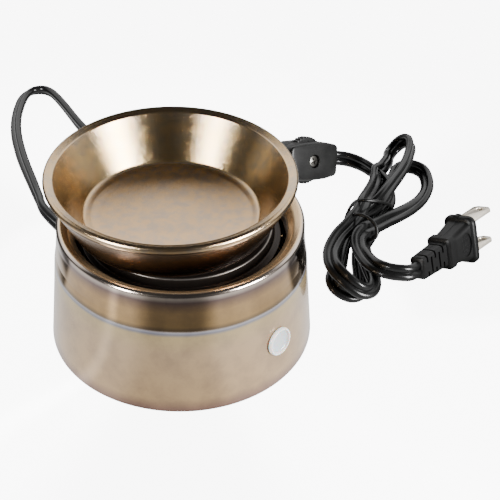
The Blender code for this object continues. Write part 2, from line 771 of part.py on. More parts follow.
# Indicator: the lens is a cup whose neck passes the wall, with a push-on ring behind it
def indicator():
    frame = lens_frame()
    bore = LAMP_RADIUS + GAP
    end = -BASE_WALL - LENS_NECK_BEYOND
    turned(
        "indicator_lens",
        [
            (0.0, GAP + LENS_FLANGE + LENS_DOME, 0.0),
            (LENS_RADIUS * 0.55, GAP + LENS_FLANGE + LENS_DOME * 0.75, 0.004),
            (LENS_RADIUS, GAP + LENS_FLANGE, 0.0006),
            (LENS_RADIUS, GAP, 0.0),
            (LENS_NECK_RADIUS, GAP, 0.0),
            (LENS_NECK_RADIUS, end, 0.0),
            (bore, end, 0.0),
            (bore, -BASE_WALL / 2, 0.0),
            (0.0, -BASE_WALL / 2, 0.0),
        ],
        LENS,
        frame,
        segments=24,
        arc_steps=2,
    )
    inner_wall = inner_radius(LENS_HEIGHT)
    outer = LENS_NECK_RADIUS + GAP + RETAINER_WIDTH
    face = -BASE_WALL - sagitta(inner_wall, outer) - GAP
    turned(
        "lens_retainer",
        washer_corners(LENS_NECK_RADIUS + GAP, outer, face - RETAINER_THICKNESS, face),
        STEEL,
        frame,
        segments=20,
        ring=True,
    )
    front = -BASE_WALL / 2 - GAP
    turned(
        "indicator_lamp",
        [
            (0.0, front, 0.0),
            (LAMP_RADIUS, front, 0.0016),
            (LAMP_RADIUS, front - LAMP_LENGTH, 0.0),
            (0.0, front - LAMP_LENGTH, 0.0),
        ],
        LENS,
        frame,
        segments=14,
        arc_steps=2,
    )


# Rubber bush in the back wall, with a ribbed tapering tail round the cord
def cord_bush():
    inner_wall = inner_radius(BUSH_HEIGHT)
    inner_face = -BASE_WALL - sagitta(inner_wall, BUSH_FLANGE_RADIUS) - GAP
    taper = BUSH_TAIL_RADIUS - BUSH_END_RADIUS
    pitch = BUSH_TAIL / BUSH_RIBS
    corners = []
    for rib in reversed(range(BUSH_RIBS)):
        far = BUSH_FLANGE + pitch * (rib + 1)
        near = BUSH_FLANGE + pitch * rib
        radius = BUSH_TAIL_RADIUS - taper * (rib + 1) / BUSH_RIBS
        corners.append((radius, far, 0.0))
        corners.append((radius + taper / BUSH_RIBS / 2, near + pitch * 0.35, 0.0))
        if rib:
            corners.append((radius - BUSH_GROOVE, near + pitch * 0.35, 0.0))
            corners.append((radius - BUSH_GROOVE, near, 0.0))
    turned(
        "cord_bush",
        [(0.0, BUSH_FLANGE + BUSH_TAIL, 0.0)]
        + corners
        + [
            (BUSH_FLANGE_RADIUS, BUSH_FLANGE, 0.0005),
            (BUSH_FLANGE_RADIUS, GAP, 0.0),
            (BUSH_NECK_RADIUS, GAP, 0.0),
            (BUSH_NECK_RADIUS, inner_face, 0.0),
            (BUSH_FLANGE_RADIUS, inner_face, 0.0),
            (BUSH_FLANGE_RADIUS, inner_face - BUSH_FLANGE, 0.0005),
            (0.0, inner_face - BUSH_FLANGE, 0.0),
        ],
        BLACK_RUBBER,
        bush_frame(),
        segments=14,
        arc_steps=1,
    )
    return inner_face - BUSH_FLANGE - GAP


def clamp_screw_offset():
    return CORD_WIDTH / 2 + GAP + CORD_CLAMP_WALL / 2


def cord_clamp():
    half = CORD_WIDTH / 2 + GAP
    side = half + CORD_CLAMP_WALL
    low = COVER_TOP + GAP
    middle = low + CORD_WIDTH / 2
    roof = middle + half + CORD_CLAMP_ROOF
    arch = [(half * math.cos(math.pi * i / 8), middle + half * math.sin(math.pi * i / 8)) for i in range(9)]
    corner = 0.0012
    outline = [(-half, low), (-side, low), (-side, roof - corner), (-side + corner, roof)]
    outline += [(side - corner, roof), (side, roof - corner), (side, low), (half, low)]
    outline += arch
    centre = CORD_CLAMP_NEAR + CORD_CLAMP_LENGTH / 2
    clamp = as_mesh(slab("cord_clamp", [outline], CORD_CLAMP_LENGTH, BLACK_PLASTIC, at(0, centre) @ turn(90, "X")))
    for number, sign in enumerate((-1, 1), 1):
        place = at(sign * clamp_screw_offset(), centre)
        boolean(clamp, rod_cutter(f"clamp_bore_{number}", CLAMP_SCREW_RADIUS + GAP, 0.0, 0.02, place, 12))
        head = roof + GAP + CLAMP_HEAD_HEIGHT
        turned(
            f"clamp_screw_{number}",
            [
                (0.0, head, 0.0),
                (CLAMP_HEAD_RADIUS, head, 0.0006),
                (CLAMP_HEAD_RADIUS, roof + GAP, 0.0),
                (CLAMP_SCREW_RADIUS, roof + GAP, 0.0),
                (CLAMP_SCREW_RADIUS, COVER_BOTTOM + GAP, 0.0003),
                (0.0, COVER_BOTTOM + GAP, 0.0),
            ],
            STEEL,
            place,
            segments=10,
            arc_steps=1,
        )
    return middle


# The cord from the bush to its clamp, the crimp caps and the wires between them
HEATER_LEAD_WAY = [
    (0.0205, 0.0125, 0.0150),
    (0.0235, 0.0145, 0.0230),
    (0.0225, 0.0150, 0.0320),
]
LAMP_LEAD_WAY = [
    (0.0090, 0.0050, 0.0122),
    (0.0100, -0.0080, 0.0120),
    (0.0075, -0.0200, 0.0135),
]
FUSE_LEAD_WAY = [
    (-0.0205, 0.0130, 0.0150),
    (-0.0245, 0.0140, 0.0240),
    (-0.0245, 0.0130, 0.0335),
]


def wiring(bush_back, cord_height):
    bush_end = bush_frame() @ Vector((0.0, 0.0, bush_back))
    bush_lead = bush_frame() @ Vector((0.0, 0.0, bush_back - 0.0035))
    drop = bush_end.z - cord_height
    free_end = CORD_CLAMP_NEAR - 0.003
    clamp_far = CORD_CLAMP_NEAR + CORD_CLAMP_LENGTH
    tube(
        "cord_inside",
        [
            bush_end,
            bush_lead,
            (0.0, (bush_end.y + clamp_far) / 2, bush_end.z - 0.6 * drop),
            (0.0, clamp_far, cord_height + GAP / 3),
            (0.0, CORD_CLAMP_NEAR, cord_height + GAP / 3),
            (0.0, free_end, cord_height + GAP / 3),
        ],
        CORD_WIDTH / 2 - GAP / 3,
        CORD_BLACK,
        spacing=0.7,
    )
    for number, sign in enumerate((1, -1), 1):
        x = sign * CAP_SPREAD
        turned(
            f"wire_cap_{number}",
            [
                (0.0, CAP_BASE + CAP_LENGTH, 0.0),
                (CAP_RADIUS * 0.8, CAP_BASE + CAP_LENGTH, 0.0014),
                (CAP_RADIUS, CAP_BASE + 0.4 * CAP_LENGTH, 0.0),
                (CAP_RADIUS, CAP_BASE, 0.0),
                (0.0, CAP_BASE, 0.0),
            ],
            WIRE_WHITE,
            at(x, CAP_BACK),
            segments=14,
            arc_steps=2,
        )
        mouth = CAP_BASE - GAP
        tube(
            f"supply_wire_{number}",
            [
                (sign * CORD_WIDTH / 4, free_end - GAP, cord_height),
                (sign * 0.0025, free_end - 0.003, cord_height),
                (sign * 0.006, CAP_BACK + 0.0005, cord_height + 0.0015),
                (sign * (CAP_SPREAD - 0.0008), CAP_BACK + WIRE_SEAT, mouth - 0.005),
                (x, CAP_BACK + WIRE_SEAT, mouth),
            ],
            WIRE_RADIUS,
            CORD_BLACK,
        )
        lamp = lens_frame() @ Vector((sign * LAMP_RADIUS / 2, 0.0, -BASE_WALL / 2 - 2 * GAP - LAMP_LENGTH))
        seat = (x - sign * WIRE_SEAT * 0.87, CAP_BACK - WIRE_SEAT / 2)
        tube(
            f"lamp_lead_{number}",
            [
                (*seat, mouth),
                (seat[0], seat[1] - GAP, mouth - 8 * GAP),
                *[(sign * across, along, height) for across, along, height in LAMP_LEAD_WAY],
                (sign * 0.003, lamp.y + 0.0045, lamp.z - 0.0015),
                lamp,
            ],
            WIRE_RADIUS,
            WIRE_WHITE,
        )
    out = CAP_SPREAD + WIRE_SEAT * 0.87
    back = CAP_BACK - WIRE_SEAT / 2
    mouth = CAP_BASE - GAP
    under_heater = HEATER_BOTTOM - GAP
    landing = HEATER_RADIUS - WIRE_RADIUS - 2 * GAP
    tube(
        "heater_lead",
        [
            (out, back, mouth),
            (out + 0.0003, back, mouth - 0.0025),
            (out + 0.0035, back, mouth - 0.005),
            *HEATER_LEAD_WAY,
            (landing * 0.83, landing * 0.57, under_heater - 0.003),
            (landing * 0.82, landing * 0.57, under_heater),
        ],
        WIRE_RADIUS,
        WIRE_WHITE,
    )
    fuse_end = FUSE_LENGTH / 2 + GAP
    tube(
        "fuse_lead",
        [
            (-out, back, mouth),
            (-out - 0.0003, back, mouth - 0.0025),
            (-out - 0.0035, back, mouth - 0.005),
            *FUSE_LEAD_WAY,
            (-FUSE_OFFSET - 0.0008, fuse_end + 0.004, FUSE_HEIGHT - 0.0008),
            (-FUSE_OFFSET, fuse_end, FUSE_HEIGHT),
        ],
        WIRE_RADIUS,
        WIRE_WHITE,
    )
    tube(
        "fuse_link",
        [
            (-FUSE_OFFSET, -fuse_end, FUSE_HEIGHT),
            (-FUSE_OFFSET + 0.0004, -fuse_end - 0.0028, FUSE_HEIGHT - 0.0006),
            (-landing * 0.87, -landing * 0.50, under_heater - 0.0022),
            (-landing * 0.84, -landing * 0.53, under_heater),
        ],
        WIRE_RADIUS,
        NICKEL,
    )


# Wax dish
def wax_dish():
    wall_angle = math.atan2(DISH_DEPTH, DISH_RIM_RADIUS - DISH_FLOOR_RADIUS)
    outer_shift = DISH_WALL / math.sin(wall_angle)
    lip_centre = (DISH_RIM_RADIUS + LIP_REACH, DISH_RIM + 0.0008 - LIP_RADIUS)
    lip = []
    for step in range(6):
        angle = math.radians(80 - 185 * step / 5)
        lip.append(
            (lip_centre[0] + LIP_RADIUS * math.cos(angle), lip_centre[1] + LIP_RADIUS * math.sin(angle), 0.0)
        )
    shoulder_z = lip[-1][1] - 0.0005
    shoulder_r = DISH_RIM_RADIUS + outer_shift - (DISH_RIM - shoulder_z) / math.tan(wall_angle)
    low_z = DISH_FLOOR - 0.0006
    low_r = DISH_FLOOR_RADIUS + outer_shift - (DISH_FLOOR - low_z) / math.tan(wall_angle)
    turned(
        "wax_dish",
        [
            (0.0, DISH_FLOOR - DISH_DIP, 0.0),
            (DISH_DIP_RADIUS - 0.0016, DISH_FLOOR - DISH_DIP, 0.002),
            (DISH_DIP_RADIUS + 0.0016, DISH_FLOOR, 0.002),
            (DISH_FLOOR_RADIUS, DISH_FLOOR, 0.001),
            (DISH_RIM_RADIUS, DISH_RIM, 0.0009),
        ]
        + lip
        + [
            (shoulder_r, shoulder_z, 0.0),
            (low_r, low_z, 0.003),
            (DISH_FOOT_RADIUS + 0.0004, DISH_BOTTOM + 0.0011, 0.0),
            (DISH_FOOT_RADIUS, DISH_BOTTOM, 0.0),
            (DISH_FOOT_RADIUS - DISH_FOOT_WIDTH, DISH_BOTTOM, 0.0),
            (DISH_FOOT_RADIUS - DISH_FOOT_WIDTH - DISH_RECESS, DISH_BOTTOM + DISH_RECESS, 0.0),
            (0.0, DISH_BOTTOM + DISH_RECESS, 0.0),
        ],
        GLAZE,
        at(*DISH_OFFSET),
        segments=ROUND_STEPS,
        arc_steps=2,
    )


# In-line switch
def switch_outline():
    half = SWITCH_LENGTH / 2
    end = SWITCH_END_WIDTH / 2
    side = SWITCH_WIDTH / 2
    cut = 0.0012
    quarter = [(half, end - cut), (half - cut, end), (0.0, side)]
    left = [(-x, y) for x, y in reversed(quarter[:2])]
    top = quarter + left
    return top + [(-x, -y) for x, y in top]


def wheel_outline():
    points = []
    for tooth in range(WHEEL_TEETH):
        angle = 2 * math.pi * tooth / WHEEL_TEETH
        pitch = 2 * math.pi / WHEEL_TEETH
        root = WHEEL_RADIUS - WHEEL_TOOTH
        for part, radius in ((0.0, WHEEL_RADIUS), (0.45, WHEEL_RADIUS), (0.72, root)):
            turned_to = angle + part * pitch
            points.append((radius * math.cos(turned_to), radius * math.sin(turned_to)))
    return points


def inline_switch():
    pose = at(*SWITCH_PLACE)
    pose = pose @ Matrix.Rotation(SWITCH_YAW, 4, "Z") @ Matrix.Rotation(SWITCH_PITCH, 4, "Y")
    pose = pose @ Matrix.Rotation(math.pi / 2 - SWITCH_LEAN, 4, "X")
    shell = SWITCH_THICKNESS / 2 - GAP / 2
    middle = (shell + GAP) / 2
    cavity = WHEEL_THICKNESS / 2 + WHEEL_CLEARANCE
    bore = SWITCH_SCREW_RADIUS + SCREW_CLEARANCE
    face = SWITCH_THICKNESS / 2
    head_seat = face - SWITCH_SCREW_SEAT
    nut_seat = -face + SWITCH_NUT_THICKNESS + GAP
    for name, sign in (("switch_shell_front", 1), ("switch_shell_back", -1)):
        half = as_mesh(slab(name, [switch_outline()], shell - GAP / 2, BLACK_PLASTIC, pose @ at(0, 0, sign * middle)))
        bevel = half.modifiers.new("Edges", "BEVEL")
        bevel.width = SWITCH_CHAMFER
        bevel.segments = 1
        bevel.limit_method = "ANGLE"
        bevel.angle_limit = math.radians(60)
        boolean(half, rod_cutter(f"{name}_cavity", WHEEL_RADIUS + WHEEL_CLEARANCE, -cavity, cavity, pose, 36))
        boolean(half, rod_cutter(f"{name}_bore", bore, -0.02, 0.02, pose, 16))
        if sign > 0:
            recess = rod_cutter("screw_recess", SWITCH_SCREW_HEAD + SCREW_CLEARANCE, head_seat, 0.02, pose, 20)
        else:
            recess = rod_cutter("nut_recess", SWITCH_NUT_RADIUS + SCREW_CLEARANCE, -0.02, nut_seat, pose, 20)
        boolean(half, recess)
    hub = circle(SWITCH_SCREW_RADIUS + GAP, steps=16)
    slab("switch_wheel", [wheel_outline(), hub], WHEEL_THICKNESS, BLACK_PLASTIC, pose)
    head = head_seat + GAP
    tip = nut_seat - GAP - SWITCH_NUT_THICKNESS * 0.6
    turned(
        "switch_screw",
        [
            (0.0, face - 0.0004, 0.0),
            (SWITCH_SCREW_HEAD, face - 0.0008, 0.0006),
            (SWITCH_SCREW_HEAD, head, 0.0),
            (SWITCH_SCREW_RADIUS, head, 0.0),
            (SWITCH_SCREW_RADIUS, tip, 0.0),
            (0.0, tip, 0.0),
        ],
        NICKEL,
        pose,
        segments=16,
        arc_steps=2,
    )
    nut = [circle(SWITCH_NUT_RADIUS, steps=6), circle(bore, steps=16)]
    place = pose @ at(0, 0, nut_seat - GAP - SWITCH_NUT_THICKNESS / 2)
    slab("switch_nut", nut, SWITCH_NUT_THICKNESS, NICKEL, place)
    return pose


# Plug: a lofted body between rounded rectangles, with a slotted strain relief behind it
def rounded_rectangle(width, height, corner, steps=3):
    points = []
    for quarter, (sx, sy) in enumerate(((1, 1), (-1, 1), (-1, -1), (1, -1))):
        for step in range(steps + 1):
            angle = math.pi / 2 * (quarter + step / steps)
            points.append(
                (
                    sx * (width / 2 - corner) + corner * math.cos(angle),
                    sy * (height / 2 - corner) + corner * math.sin(angle),
                )
            )
    return points


def loft(name, sections, finish, place):
    """A solid through rounded rectangles of (x, width, height, corner) along its own X."""
    work = bmesh.new()
    rings = []
    for x, width, height, corner in sections:
        ring = [work.verts.new((x, y, z)) for y, z in rounded_rectangle(width, height, corner)]
        rings.append(ring)
    for near, far in zip(rings, rings[1:]):
        for i in range(len(near)):
            j = (i + 1) % len(near)
            work.faces.new((near[i], near[j], far[j], far[i]))
    work.faces.new(list(reversed(rings[0])))
    work.faces.new(rings[-1])
    bmesh.ops.recalc_face_normals(work, faces=work.faces)
    mesh = bpy.data.meshes.new(name)
    work.to_mesh(mesh)
    work.free()
    return add_object(name, mesh, finish, place)


def plug():
    pose = at(*PLUG_PLACE) @ Matrix.Rotation(PLUG_YAW, 4, "Z") @ Matrix.Rotation(PLUG_PITCH, 4, "Y")
    pose = pose @ Matrix.Rotation(PLUG_LEAN, 4, "X")
    relief = RELIEF_LENGTH
    collar = relief + PLUG_COLLAR_LENGTH
    flange = PLUG_LENGTH - PLUG_FLANGE_THICKNESS
    sections = [
        (0.0, RELIEF_WIDTH, RELIEF_HEIGHT, 0.0012),
        (relief, RELIEF_WIDTH + RELIEF_GROWTH, RELIEF_HEIGHT + RELIEF_GROWTH, 0.0012),
        (relief + 0.0001, PLUG_COLLAR_WIDTH, PLUG_COLLAR_HEIGHT, 0.0016),
        (collar, PLUG_COLLAR_WIDTH, PLUG_COLLAR_HEIGHT, 0.0016),
    ]
    stretch = flange - collar
    for step in range(6):
        t = step / 5
        flare = t**PLUG_FLARE
        width = PLUG_WAIST_WIDTH + (PLUG_SHOULDER_WIDTH - PLUG_WAIST_WIDTH) * flare
        height = PLUG_WAIST_HEIGHT + (PLUG_SHOULDER_HEIGHT - PLUG_WAIST_HEIGHT) * flare
        sections.append((collar + 0.0002 + (stretch - 0.0004) * t, width, height, 0.0018))
    edge = 0.0007
    sections += [
        (flange, PLUG_FLANGE_WIDTH - edge, PLUG_FLANGE_HEIGHT - edge, 0.0025),
        (flange + edge, PLUG_FLANGE_WIDTH, PLUG_FLANGE_HEIGHT, 0.0028),
        (PLUG_LENGTH - edge, PLUG_FLANGE_WIDTH, PLUG_FLANGE_HEIGHT, 0.0028),
        (PLUG_LENGTH, PLUG_FLANGE_WIDTH - 2 * edge, PLUG_FLANGE_HEIGHT - 2 * edge, 0.0024),
    ]
    body = loft("plug_body", sections, BLACK_PLASTIC, pose)
    # Slots cross the relief from above and below and from its sides by turns.
    pitch = relief / RELIEF_RINGS
    for ring in range(1, RELIEF_RINGS):
        x = pitch * ring
        for sign in (-1, 1):
            if ring % 2:
                place = pose @ at(x, 0.0, sign * (RELIEF_HEIGHT + RELIEF_GROWTH) / 2)
                size = (RELIEF_SLOT, RELIEF_WIDTH * 2, 2 * RELIEF_SLOT_DEPTH)
            else:
                place = pose @ at(x, sign * (RELIEF_WIDTH + RELIEF_GROWTH) / 2, 0.0)
                size = (RELIEF_SLOT, 1.4 * RELIEF_SLOT_DEPTH, RELIEF_HEIGHT * 0.72)
            boolean(body, bar(f"relief_slot_{ring}_{sign}", size, None, place))
    blade_back = PLUG_LENGTH + GAP
    for name, sign, width in (("plug_blade_wide", 1, BLADE_WIDE), ("plug_blade_narrow", -1, BLADE_WIDTH)):
        tip = BLADE_LENGTH
        cut = 0.0016
        side = width / 2
        outline = [(0.0, -side), (tip - cut, -side), (tip, -side + cut)]
        outline += [(tip, side - cut), (tip - cut, side), (0.0, side)]
        hole = circle(BLADE_HOLE_RADIUS, (tip - 0.0035, 0.0), 16)
        place = pose @ at(blade_back, 0.0, sign * BLADE_SPACING / 2)
        slab(name, [outline, hole], BLADE_THICKNESS, NICKEL, place)
    return pose


# Hank of spare cord: an extruded outline with round ends and a waist where the tie holds it
def hank_frame():
    near = Vector(HANK_NEAR)
    along = Vector(HANK_FAR) - near
    heading = math.atan2(along.y, along.x)
    return at(near.x, near.y) @ Matrix.Rotation(heading, 4, "Z"), along.length


def hank_half_width(t):
    """Half width at a share t of the way from the near end's centre to the far end's."""
    plain = HANK_NEAR_RADIUS + (HANK_FAR_RADIUS - HANK_NEAR_RADIUS) * t
    away = (t - TIE_AT) / (TIE_AT if t < TIE_AT else 1 - TIE_AT)
    return HANK_WAIST + (plain - HANK_WAIST) * 0.5 * (1 - math.cos(math.pi * min(abs(away), 1.0)))


def hank_outline(length):
    points = []
    for step in range(9):
        angle = math.pi / 2 + math.pi * step / 8
        points.append((HANK_NEAR_RADIUS * math.cos(angle), HANK_NEAR_RADIUS * math.sin(angle)))
    side = [(length * step / 14, hank_half_width(step / 14)) for step in range(1, 14)]
    points += [(x, -y) for x, y in side]
    for step in range(9):
        angle = -math.pi / 2 + math.pi * step / 8
        points.append((length + HANK_FAR_RADIUS * math.cos(angle), HANK_FAR_RADIUS * math.sin(angle)))
    points += [(x, y) for x, y in reversed(side)]
    return points


def hank():
    frame, length = hank_frame()
    slab("cord_hank", [hank_outline(length)], HANK_HEIGHT, CORD_BLACK, frame @ at(0, 0, HANK_HEIGHT / 2))
    inner = HANK_WAIST + 2 * GAP
    outer = inner + TIE_THICKNESS
    roof = HANK_HEIGHT + GAP
    corner = 0.001
    outline = [(-inner, 0.0), (-inner, roof), (inner, roof), (inner, 0.0), (outer, 0.0)]
    outline += [(outer, roof + TIE_THICKNESS - corner), (outer - corner, roof + TIE_THICKNESS)]
    outline += [(-outer + corner, roof + TIE_THICKNESS), (-outer, roof + TIE_THICKNESS - corner), (-outer, 0.0)]
    place = frame @ at(length * TIE_AT, 0.0) @ turn(90, "Z") @ turn(90, "X")
    slab("cord_tie", [outline], TIE_WIDTH, BLACK_PLASTIC, place)


# The uncoiled cord, laid along the table
CORD_TO_SWITCH = [
    (0.0013, 0.0700, 0.0096),
    (0.0056, 0.0800, 0.0070),
    (0.0124, 0.0908, 0.0043),
    (0.0182, 0.1008, 0.0034),
    (0.0228, 0.1120, 0.0034),
    (0.0315, 0.1273, 0.0034),
    (0.0400, 0.1399, 0.0034),
    (0.0482, 0.1495, 0.0034),
    (0.0595, 0.1592, 0.0034),
    (0.0675, 0.1627, 0.0034),
    (0.0725, 0.1613, 0.0034),
    (0.0738, 0.1547, 0.0034),
    (0.0715, 0.1451, 0.0034),
    (0.0676, 0.1346, 0.0034),
    (0.0638, 0.1243, 0.0034),
    (0.0600, 0.1100, 0.0034),
    (0.0572, 0.0940, 0.0034),
    (0.0560, 0.0780, 0.0034),
    (0.0575, 0.0620, 0.0050),
    (0.0618, 0.0480, 0.0105),
    (0.0700, 0.0365, 0.0165),
]
CORD_TO_HANK = [
    (0.1228, 0.0212, 0.0048),
    (0.1262, 0.0170, 0.0037),
]
CORD_TO_PLUG = [
    (0.0636, -0.0492, 0.0116),
]


def free_cord(switch_pose, plug_pose):
    radius = CORD_WIDTH / 2
    half = SWITCH_LENGTH / 2 + GAP
    bush_tip = bush_frame() @ Vector((0.0, 0.0, BUSH_FLANGE + BUSH_TAIL + GAP))
    bush_lead = bush_frame() @ Vector((0.0, 0.0, BUSH_FLANGE + BUSH_TAIL + 0.003))
    left = switch_pose @ Vector((-half, 0.0, 0.0))
    left_lead = switch_pose @ Vector((-half - 0.006, 0.0, 0.0))
    route = [bush_tip, bush_lead] + CORD_TO_SWITCH + [left_lead, left]
    tube("cord_to_switch", route, radius, CORD_BLACK, spacing=2.0)
    right = switch_pose @ Vector((half, 0.0, 0.0))
    right_lead = switch_pose @ Vector((half + 0.004, 0.0, 0.0))
    frame, length = hank_frame()
    reach = hank_half_width(HANK_ENTRY) + GAP
    side = frame @ Vector((length * HANK_ENTRY, reach + 3 * GAP, radius + GAP))
    side_lead = frame @ Vector((length * HANK_ENTRY, reach + 10 * GAP, radius + GAP))
    route = [right, right_lead] + CORD_TO_HANK + [side_lead, side]
    tube("cord_to_hank", route, radius, CORD_BLACK, spacing=0.8)
    exit_frame = frame @ Matrix.Rotation(HANK_EXIT, 4, "Z")
    out = exit_frame @ Vector((HANK_NEAR_RADIUS + 2 * GAP, 0.0, HANK_EXIT_HEIGHT))
    out_lead = exit_frame @ Vector((HANK_NEAR_RADIUS + 7 * GAP, 0.0, HANK_EXIT_HEIGHT))
    entry = plug_pose @ Vector((-GAP, 0.0, 0.0))
    entry_lead = plug_pose @ Vector((-0.0030, 0.0, 0.0))
    route = [out, out_lead] + CORD_TO_PLUG + [entry_lead, entry]
    tube("cord_to_plug", route, radius, CORD_BLACK, spacing=0.6)


ceramic_base()
hot_plate()
heater()
clamp_parts()
fuse_parts()
bottom_cover()
standoffs()
feet()
indicator()
wiring(cord_bush(), cord_clamp())
wax_dish()
hank()
free_cord(inline_switch(), plug())
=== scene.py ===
# Ceramic wax warmer: its looks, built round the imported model. Metres, +Z up, lens towards -Y.
import json
import math

import bmesh
import bpy
from mathutils import Matrix, Vector


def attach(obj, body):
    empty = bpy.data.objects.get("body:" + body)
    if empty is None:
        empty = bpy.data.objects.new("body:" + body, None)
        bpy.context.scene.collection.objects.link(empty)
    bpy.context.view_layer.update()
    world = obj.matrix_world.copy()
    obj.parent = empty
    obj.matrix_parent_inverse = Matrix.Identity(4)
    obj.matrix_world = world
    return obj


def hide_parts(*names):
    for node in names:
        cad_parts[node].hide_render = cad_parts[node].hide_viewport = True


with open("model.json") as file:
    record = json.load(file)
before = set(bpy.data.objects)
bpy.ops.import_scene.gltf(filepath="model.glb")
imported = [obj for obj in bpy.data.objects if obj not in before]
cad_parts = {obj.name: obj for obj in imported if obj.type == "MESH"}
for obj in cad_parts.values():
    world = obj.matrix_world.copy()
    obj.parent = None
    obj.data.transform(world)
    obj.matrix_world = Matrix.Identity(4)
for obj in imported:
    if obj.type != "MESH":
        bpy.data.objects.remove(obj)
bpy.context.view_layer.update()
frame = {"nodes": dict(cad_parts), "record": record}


def say(stage):
    print("stage:", stage, flush=True)


def placed(name, data):
    made = bpy.data.objects.new(name, data)
    bpy.context.scene.collection.objects.link(made)
    return made


# Camera
camera = {
    "heading": math.radians(-49.5),
    "tilt": math.radians(37.49),
    "roll": math.radians(1.5),
    "distance": 0.4608,
    "aside": 0.0244,
    "height": 0.03515,
    "lens": 93.6,
    "sensor": 36.0,
}


def placeCamera(c):
    right = Vector((math.cos(c["heading"]), math.sin(c["heading"]), 0.0))
    away = Vector((-right.y, right.x, 0.0))
    forward = away * math.cos(c["tilt"]) - Vector((0.0, 0.0, math.sin(c["tilt"])))
    up = right.cross(forward)
    turnedRight = right * math.cos(c["roll"]) + up * math.sin(c["roll"])
    turnedUp = up * math.cos(c["roll"]) - right * math.sin(c["roll"])
    target = right * c["aside"] + Vector((0.0, 0.0, c["height"]))
    data = bpy.data.cameras.new("camera")
    data.lens = c["lens"]
    data.sensor_width = c["sensor"]
    data.clip_start = 0.02
    made = placed("camera", data)
    axes = Matrix((turnedRight, turnedUp, -forward)).transposed()
    made.matrix_world = Matrix.Translation(target - forward * c["distance"]) @ axes.to_4x4()
    bpy.context.scene.camera = made
    return right, away


viewRight, viewAway = placeCamera(camera)
say("camera")


# Sizes that the CAD model shares
base = {
    "radius": 0.0475,
    "shoulderRadius": 0.0434,
    "lift": 0.0008,
    "shoulderHeight": 0.0442,
    "wall": 0.0054,
    "recessRadius": 0.0435,
    "coverSeat": 0.0040,
    "ledgeTop": 0.0402,
    "ledgeThickness": 0.004,
    "openingRadius": 0.0357,
    "ledgeRadius": 0.0311,
    "slopeFoot": 0.0017,
    "slopeRise": 0.0041,
    "slopeRun": 0.0018,
    "step": 0.0003,
    "segments": 180,
    "edge": 0.0003,
    "edgeFillet": 0.0013,
    "lensHoleGap": 0.0003,
    "cordHole": 0.0043,
    # Corners over the crest: radius, height, fillet
    "crest": ((0.0395, 0.0479, 0.004), (0.0421, 0.0491, 0.0011), (0.0433, 0.0480, 0.0014)),
    # Corners down the wall: height, share of the step, fillet
    "flank": ((0.0378, 0.0, 0.006), (0.0350, 0.75, 0.002), (0.0338, 1.0, 0.002), (0.0240, 0.4, 0.02)),
}
wallTaper = math.atan2(base["radius"] - base["shoulderRadius"], base["shoulderHeight"] - base["lift"])


def wallRadius(height):
    return base["radius"] - (height - base["lift"]) * math.tan(wallTaper)


def wallFrame(height, back=False):
    place = Matrix.Translation((0.0, -wallRadius(height), height))
    place = place @ Matrix.Rotation(math.pi / 2 - wallTaper, 4, "X")
    return Matrix.Rotation(math.pi if back else 0.0, 4, "Z") @ place


lens = {
    "radius": 0.0052,
    "height": 0.0191,
    "flange": 0.0008,
    "gap": 0.0003,
    "neck": 0.0043,
    "length": 0.0086,
    "bore": 0.0028,
    "boreTop": 0.0027,
    # Corners of the cup: share of the radius, height from the face, fillet
    "cup": (
        (0.0, -0.0009, 0.0), (0.50, -0.0008, 0.01), (0.78, -0.0003, 0.0010),
        (0.86, 0.0005, 0.0003), (0.95, 0.0004, 0.0003), (1.0, -0.0002, 0.0004),
    ),
}
bush = {
    "height": 0.0095,
    "flangeRadius": 0.0052,
    "flange": 0.0016,
    "gap": 0.0003,
    "tail": 0.0128,
    "tailRadius": 0.0044,
    "endRadius": 0.0034,
    "ribs": 4,
    "groove": 0.0006,
    "grooveShare": 0.35,
    "neck": 0.004,
    "nutGap": 0.0007,
}
switch = {
    "place": (0.1010, 0.0258, 0.0121),
    "yaw": math.radians(-9.5),
    "pitch": math.radians(19.0),
    "lean": math.radians(20.0),
    "length": 0.028,
    "width": 0.016,
    "endWidth": 0.0134,
    "thickness": 0.0135,
    "nick": 0.0012,
    "swell": 0.0004,
    "edge": 0.0009,
    "split": 0.00015,
    "through": 0.02,
    "bore": 0.0017,
    # Radius and depth of each hollow
    "wheelRoom": (0.01035, 0.0041),
    "headSeat": (0.0029, 0.0022),
    "nutSeat": (0.0031, 0.0021),
}
plug = {
    "place": (0.0709, -0.0546, 0.0143),
    "yaw": math.radians(1.3),
    "pitch": math.radians(6.5),
    "lean": math.radians(-19.4),
    "relief": (0.0152, 0.0062, 0.0088),
    "growth": 0.0009,
    "collar": (0.0037, 0.0108, 0.0128),
    "waist": (0.0098, 0.0118),
    "shoulder": (0.0112, 0.0158),
    "flange": (0.0034, 0.0134, 0.0192),
    "length": 0.0332,
    "flare": 1.4,
    "rings": 6,
    "slot": 0.0009,
    "slotDepth": 0.0018,
    "wrap": 0.0030,
    "wrapDepth": 0.0012,
    "overlap": 0.0002,
    # Slots in the flanks: share of the slots' depth, share of the relief's height to each side
    "flankSlot": (0.7, 0.36),
    "bodyCorner": 0.0022,
    "flangeCorner": 0.0030,
    "flangeEdge": 0.0009,
    "gripBack": 0.0036,
    "gripSize": (0.0034, 0.0048),
    "dotRadius": 0.00024,
    "dotPitch": (0.0012, 0.0011),
    "bladeLength": 0.0159,
    "bladeWidths": (0.0079, 0.00635),
    "bladeThickness": 0.0015,
    "bladeNick": 0.0016,
    "bladeOffset": 0.00635,
    "bladeHole": 0.0016,
    "holeInset": 0.0035,
}
switchPose = Matrix.Translation(switch["place"]) @ Matrix.Rotation(switch["yaw"], 4, "Z")
switchPose = switchPose @ Matrix.Rotation(switch["pitch"], 4, "Y")
switchPose = switchPose @ Matrix.Rotation(math.pi / 2 - switch["lean"], 4, "X")
